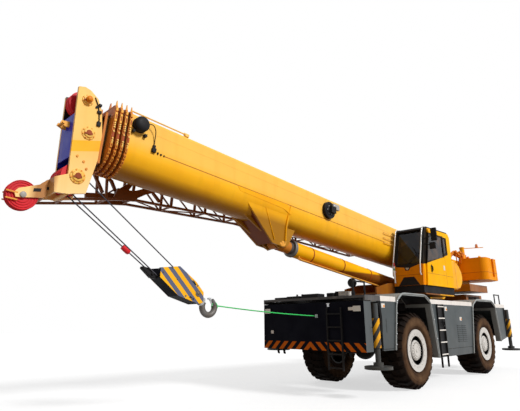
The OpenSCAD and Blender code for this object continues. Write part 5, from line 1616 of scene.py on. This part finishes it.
# %% [markdown]
# ## Floor
# A pale floor carries the shadow. Rays that come straight from the camera, through the glass or by a
# gloss see it nearly white, with a little glow, as on the photograph's white ground. To all other rays it is
# a duller brown, so it doesn't flood the machine's underside with light.

# %% Floor
HALF, GLOW = 90, 0.62
floor = bpy.data.objects.new("floor", bpy.data.meshes.new("floor"))
corners = [[-HALF, -HALF, 0], [HALF, -HALF, 0], [HALF, HALF, 0], [-HALF, HALF, 0]]
floor.data.from_pydata(corners, [], [[0, 1, 2, 3]])
ground = Finish("pale floor")
light_path = ground.add("ShaderNodeLightPath")
from_camera, by_gloss, through_glass = (Value(ground, light_path.outputs["Is %s Ray" % kind])
                                        for kind in ("Camera", "Glossy", "Transmission"))
seen_first = from_camera.math("MAXIMUM", by_gloss).math("MAXIMUM", through_glass)
specks = ground.noise(2.0, 4).span(0.3, 0.7)
pale_floor = ground.blend(specks, linear(176, 176, 176), linear(172, 172, 172))
ground.put(ground.shader.inputs["Emission Color"], (1, 1, 1, 1))
ground.put(ground.shader.inputs["Emission Strength"], seen_first.span(0.0, 1.0, 0.0, GLOW))
floor.data.materials.append(ground.done(ground.blend(seen_first, linear(144, 126, 108), pale_floor), 0.9))
bpy.context.scene.collection.objects.link(floor)
print("floor", 2 * HALF, "m wide")

# %% [markdown]
# ## Sun and sky
# One broad sun stands on the machine's left, a little behind, so that the boom's side is lit and the
# faces that look forward stay in shade, as in the photograph. The sky is plain white to the camera, in
# gloss and through glass, and dimmer as a source of light.

# %% Sun and sky
SUN_FROM = np.array([-0.18, 0.82, 0.54])
SKY_LIGHT = 0.40
sun = bpy.data.objects.new("sun", bpy.data.lights.new("sun", "SUN"))
sun.data.energy = 2.8
sun.data.angle = 0.2
toward = SUN_FROM / np.linalg.norm(SUN_FROM)
sideways = np.cross([0, 0, 1.0], toward)
sideways /= np.linalg.norm(sideways)
sun_pose = np.eye(4)
sun_pose[:3, :3] = np.stack([sideways, np.cross(toward, sideways), toward], -1)
sun.matrix_world = sun_pose.T.tolist()
bpy.context.scene.collection.objects.link(sun)
sky = bpy.data.worlds.new("sky")
bpy.context.scene.world = sky
sky.use_nodes = True
links, nodes = sky.node_tree.links, sky.node_tree.nodes
back = nodes["Background"]
back.inputs["Color"].default_value = (1, 1, 1, 1)
ray = nodes.new("ShaderNodeLightPath")
seen = ray.outputs["Is Camera Ray"]
for kind in ("Is Transmission Ray", "Is Glossy Ray"):
    either = nodes.new("ShaderNodeMath")
    either.operation = "MAXIMUM"
    links.new(seen, either.inputs[0])
    links.new(ray.outputs[kind], either.inputs[1])
    seen = either.outputs[0]
strength = nodes.new("ShaderNodeMapRange")
strength.inputs["To Min"].default_value = SKY_LIGHT
strength.inputs["To Max"].default_value = 1.0
links.new(seen, strength.inputs["Value"])
links.new(strength.outputs[0], back.inputs["Strength"])
bpy.context.scene.view_settings.view_transform = "Standard"
print("sun", round(sun.data.energy, 2), "sky", SKY_LIGHT)

# %% [markdown]
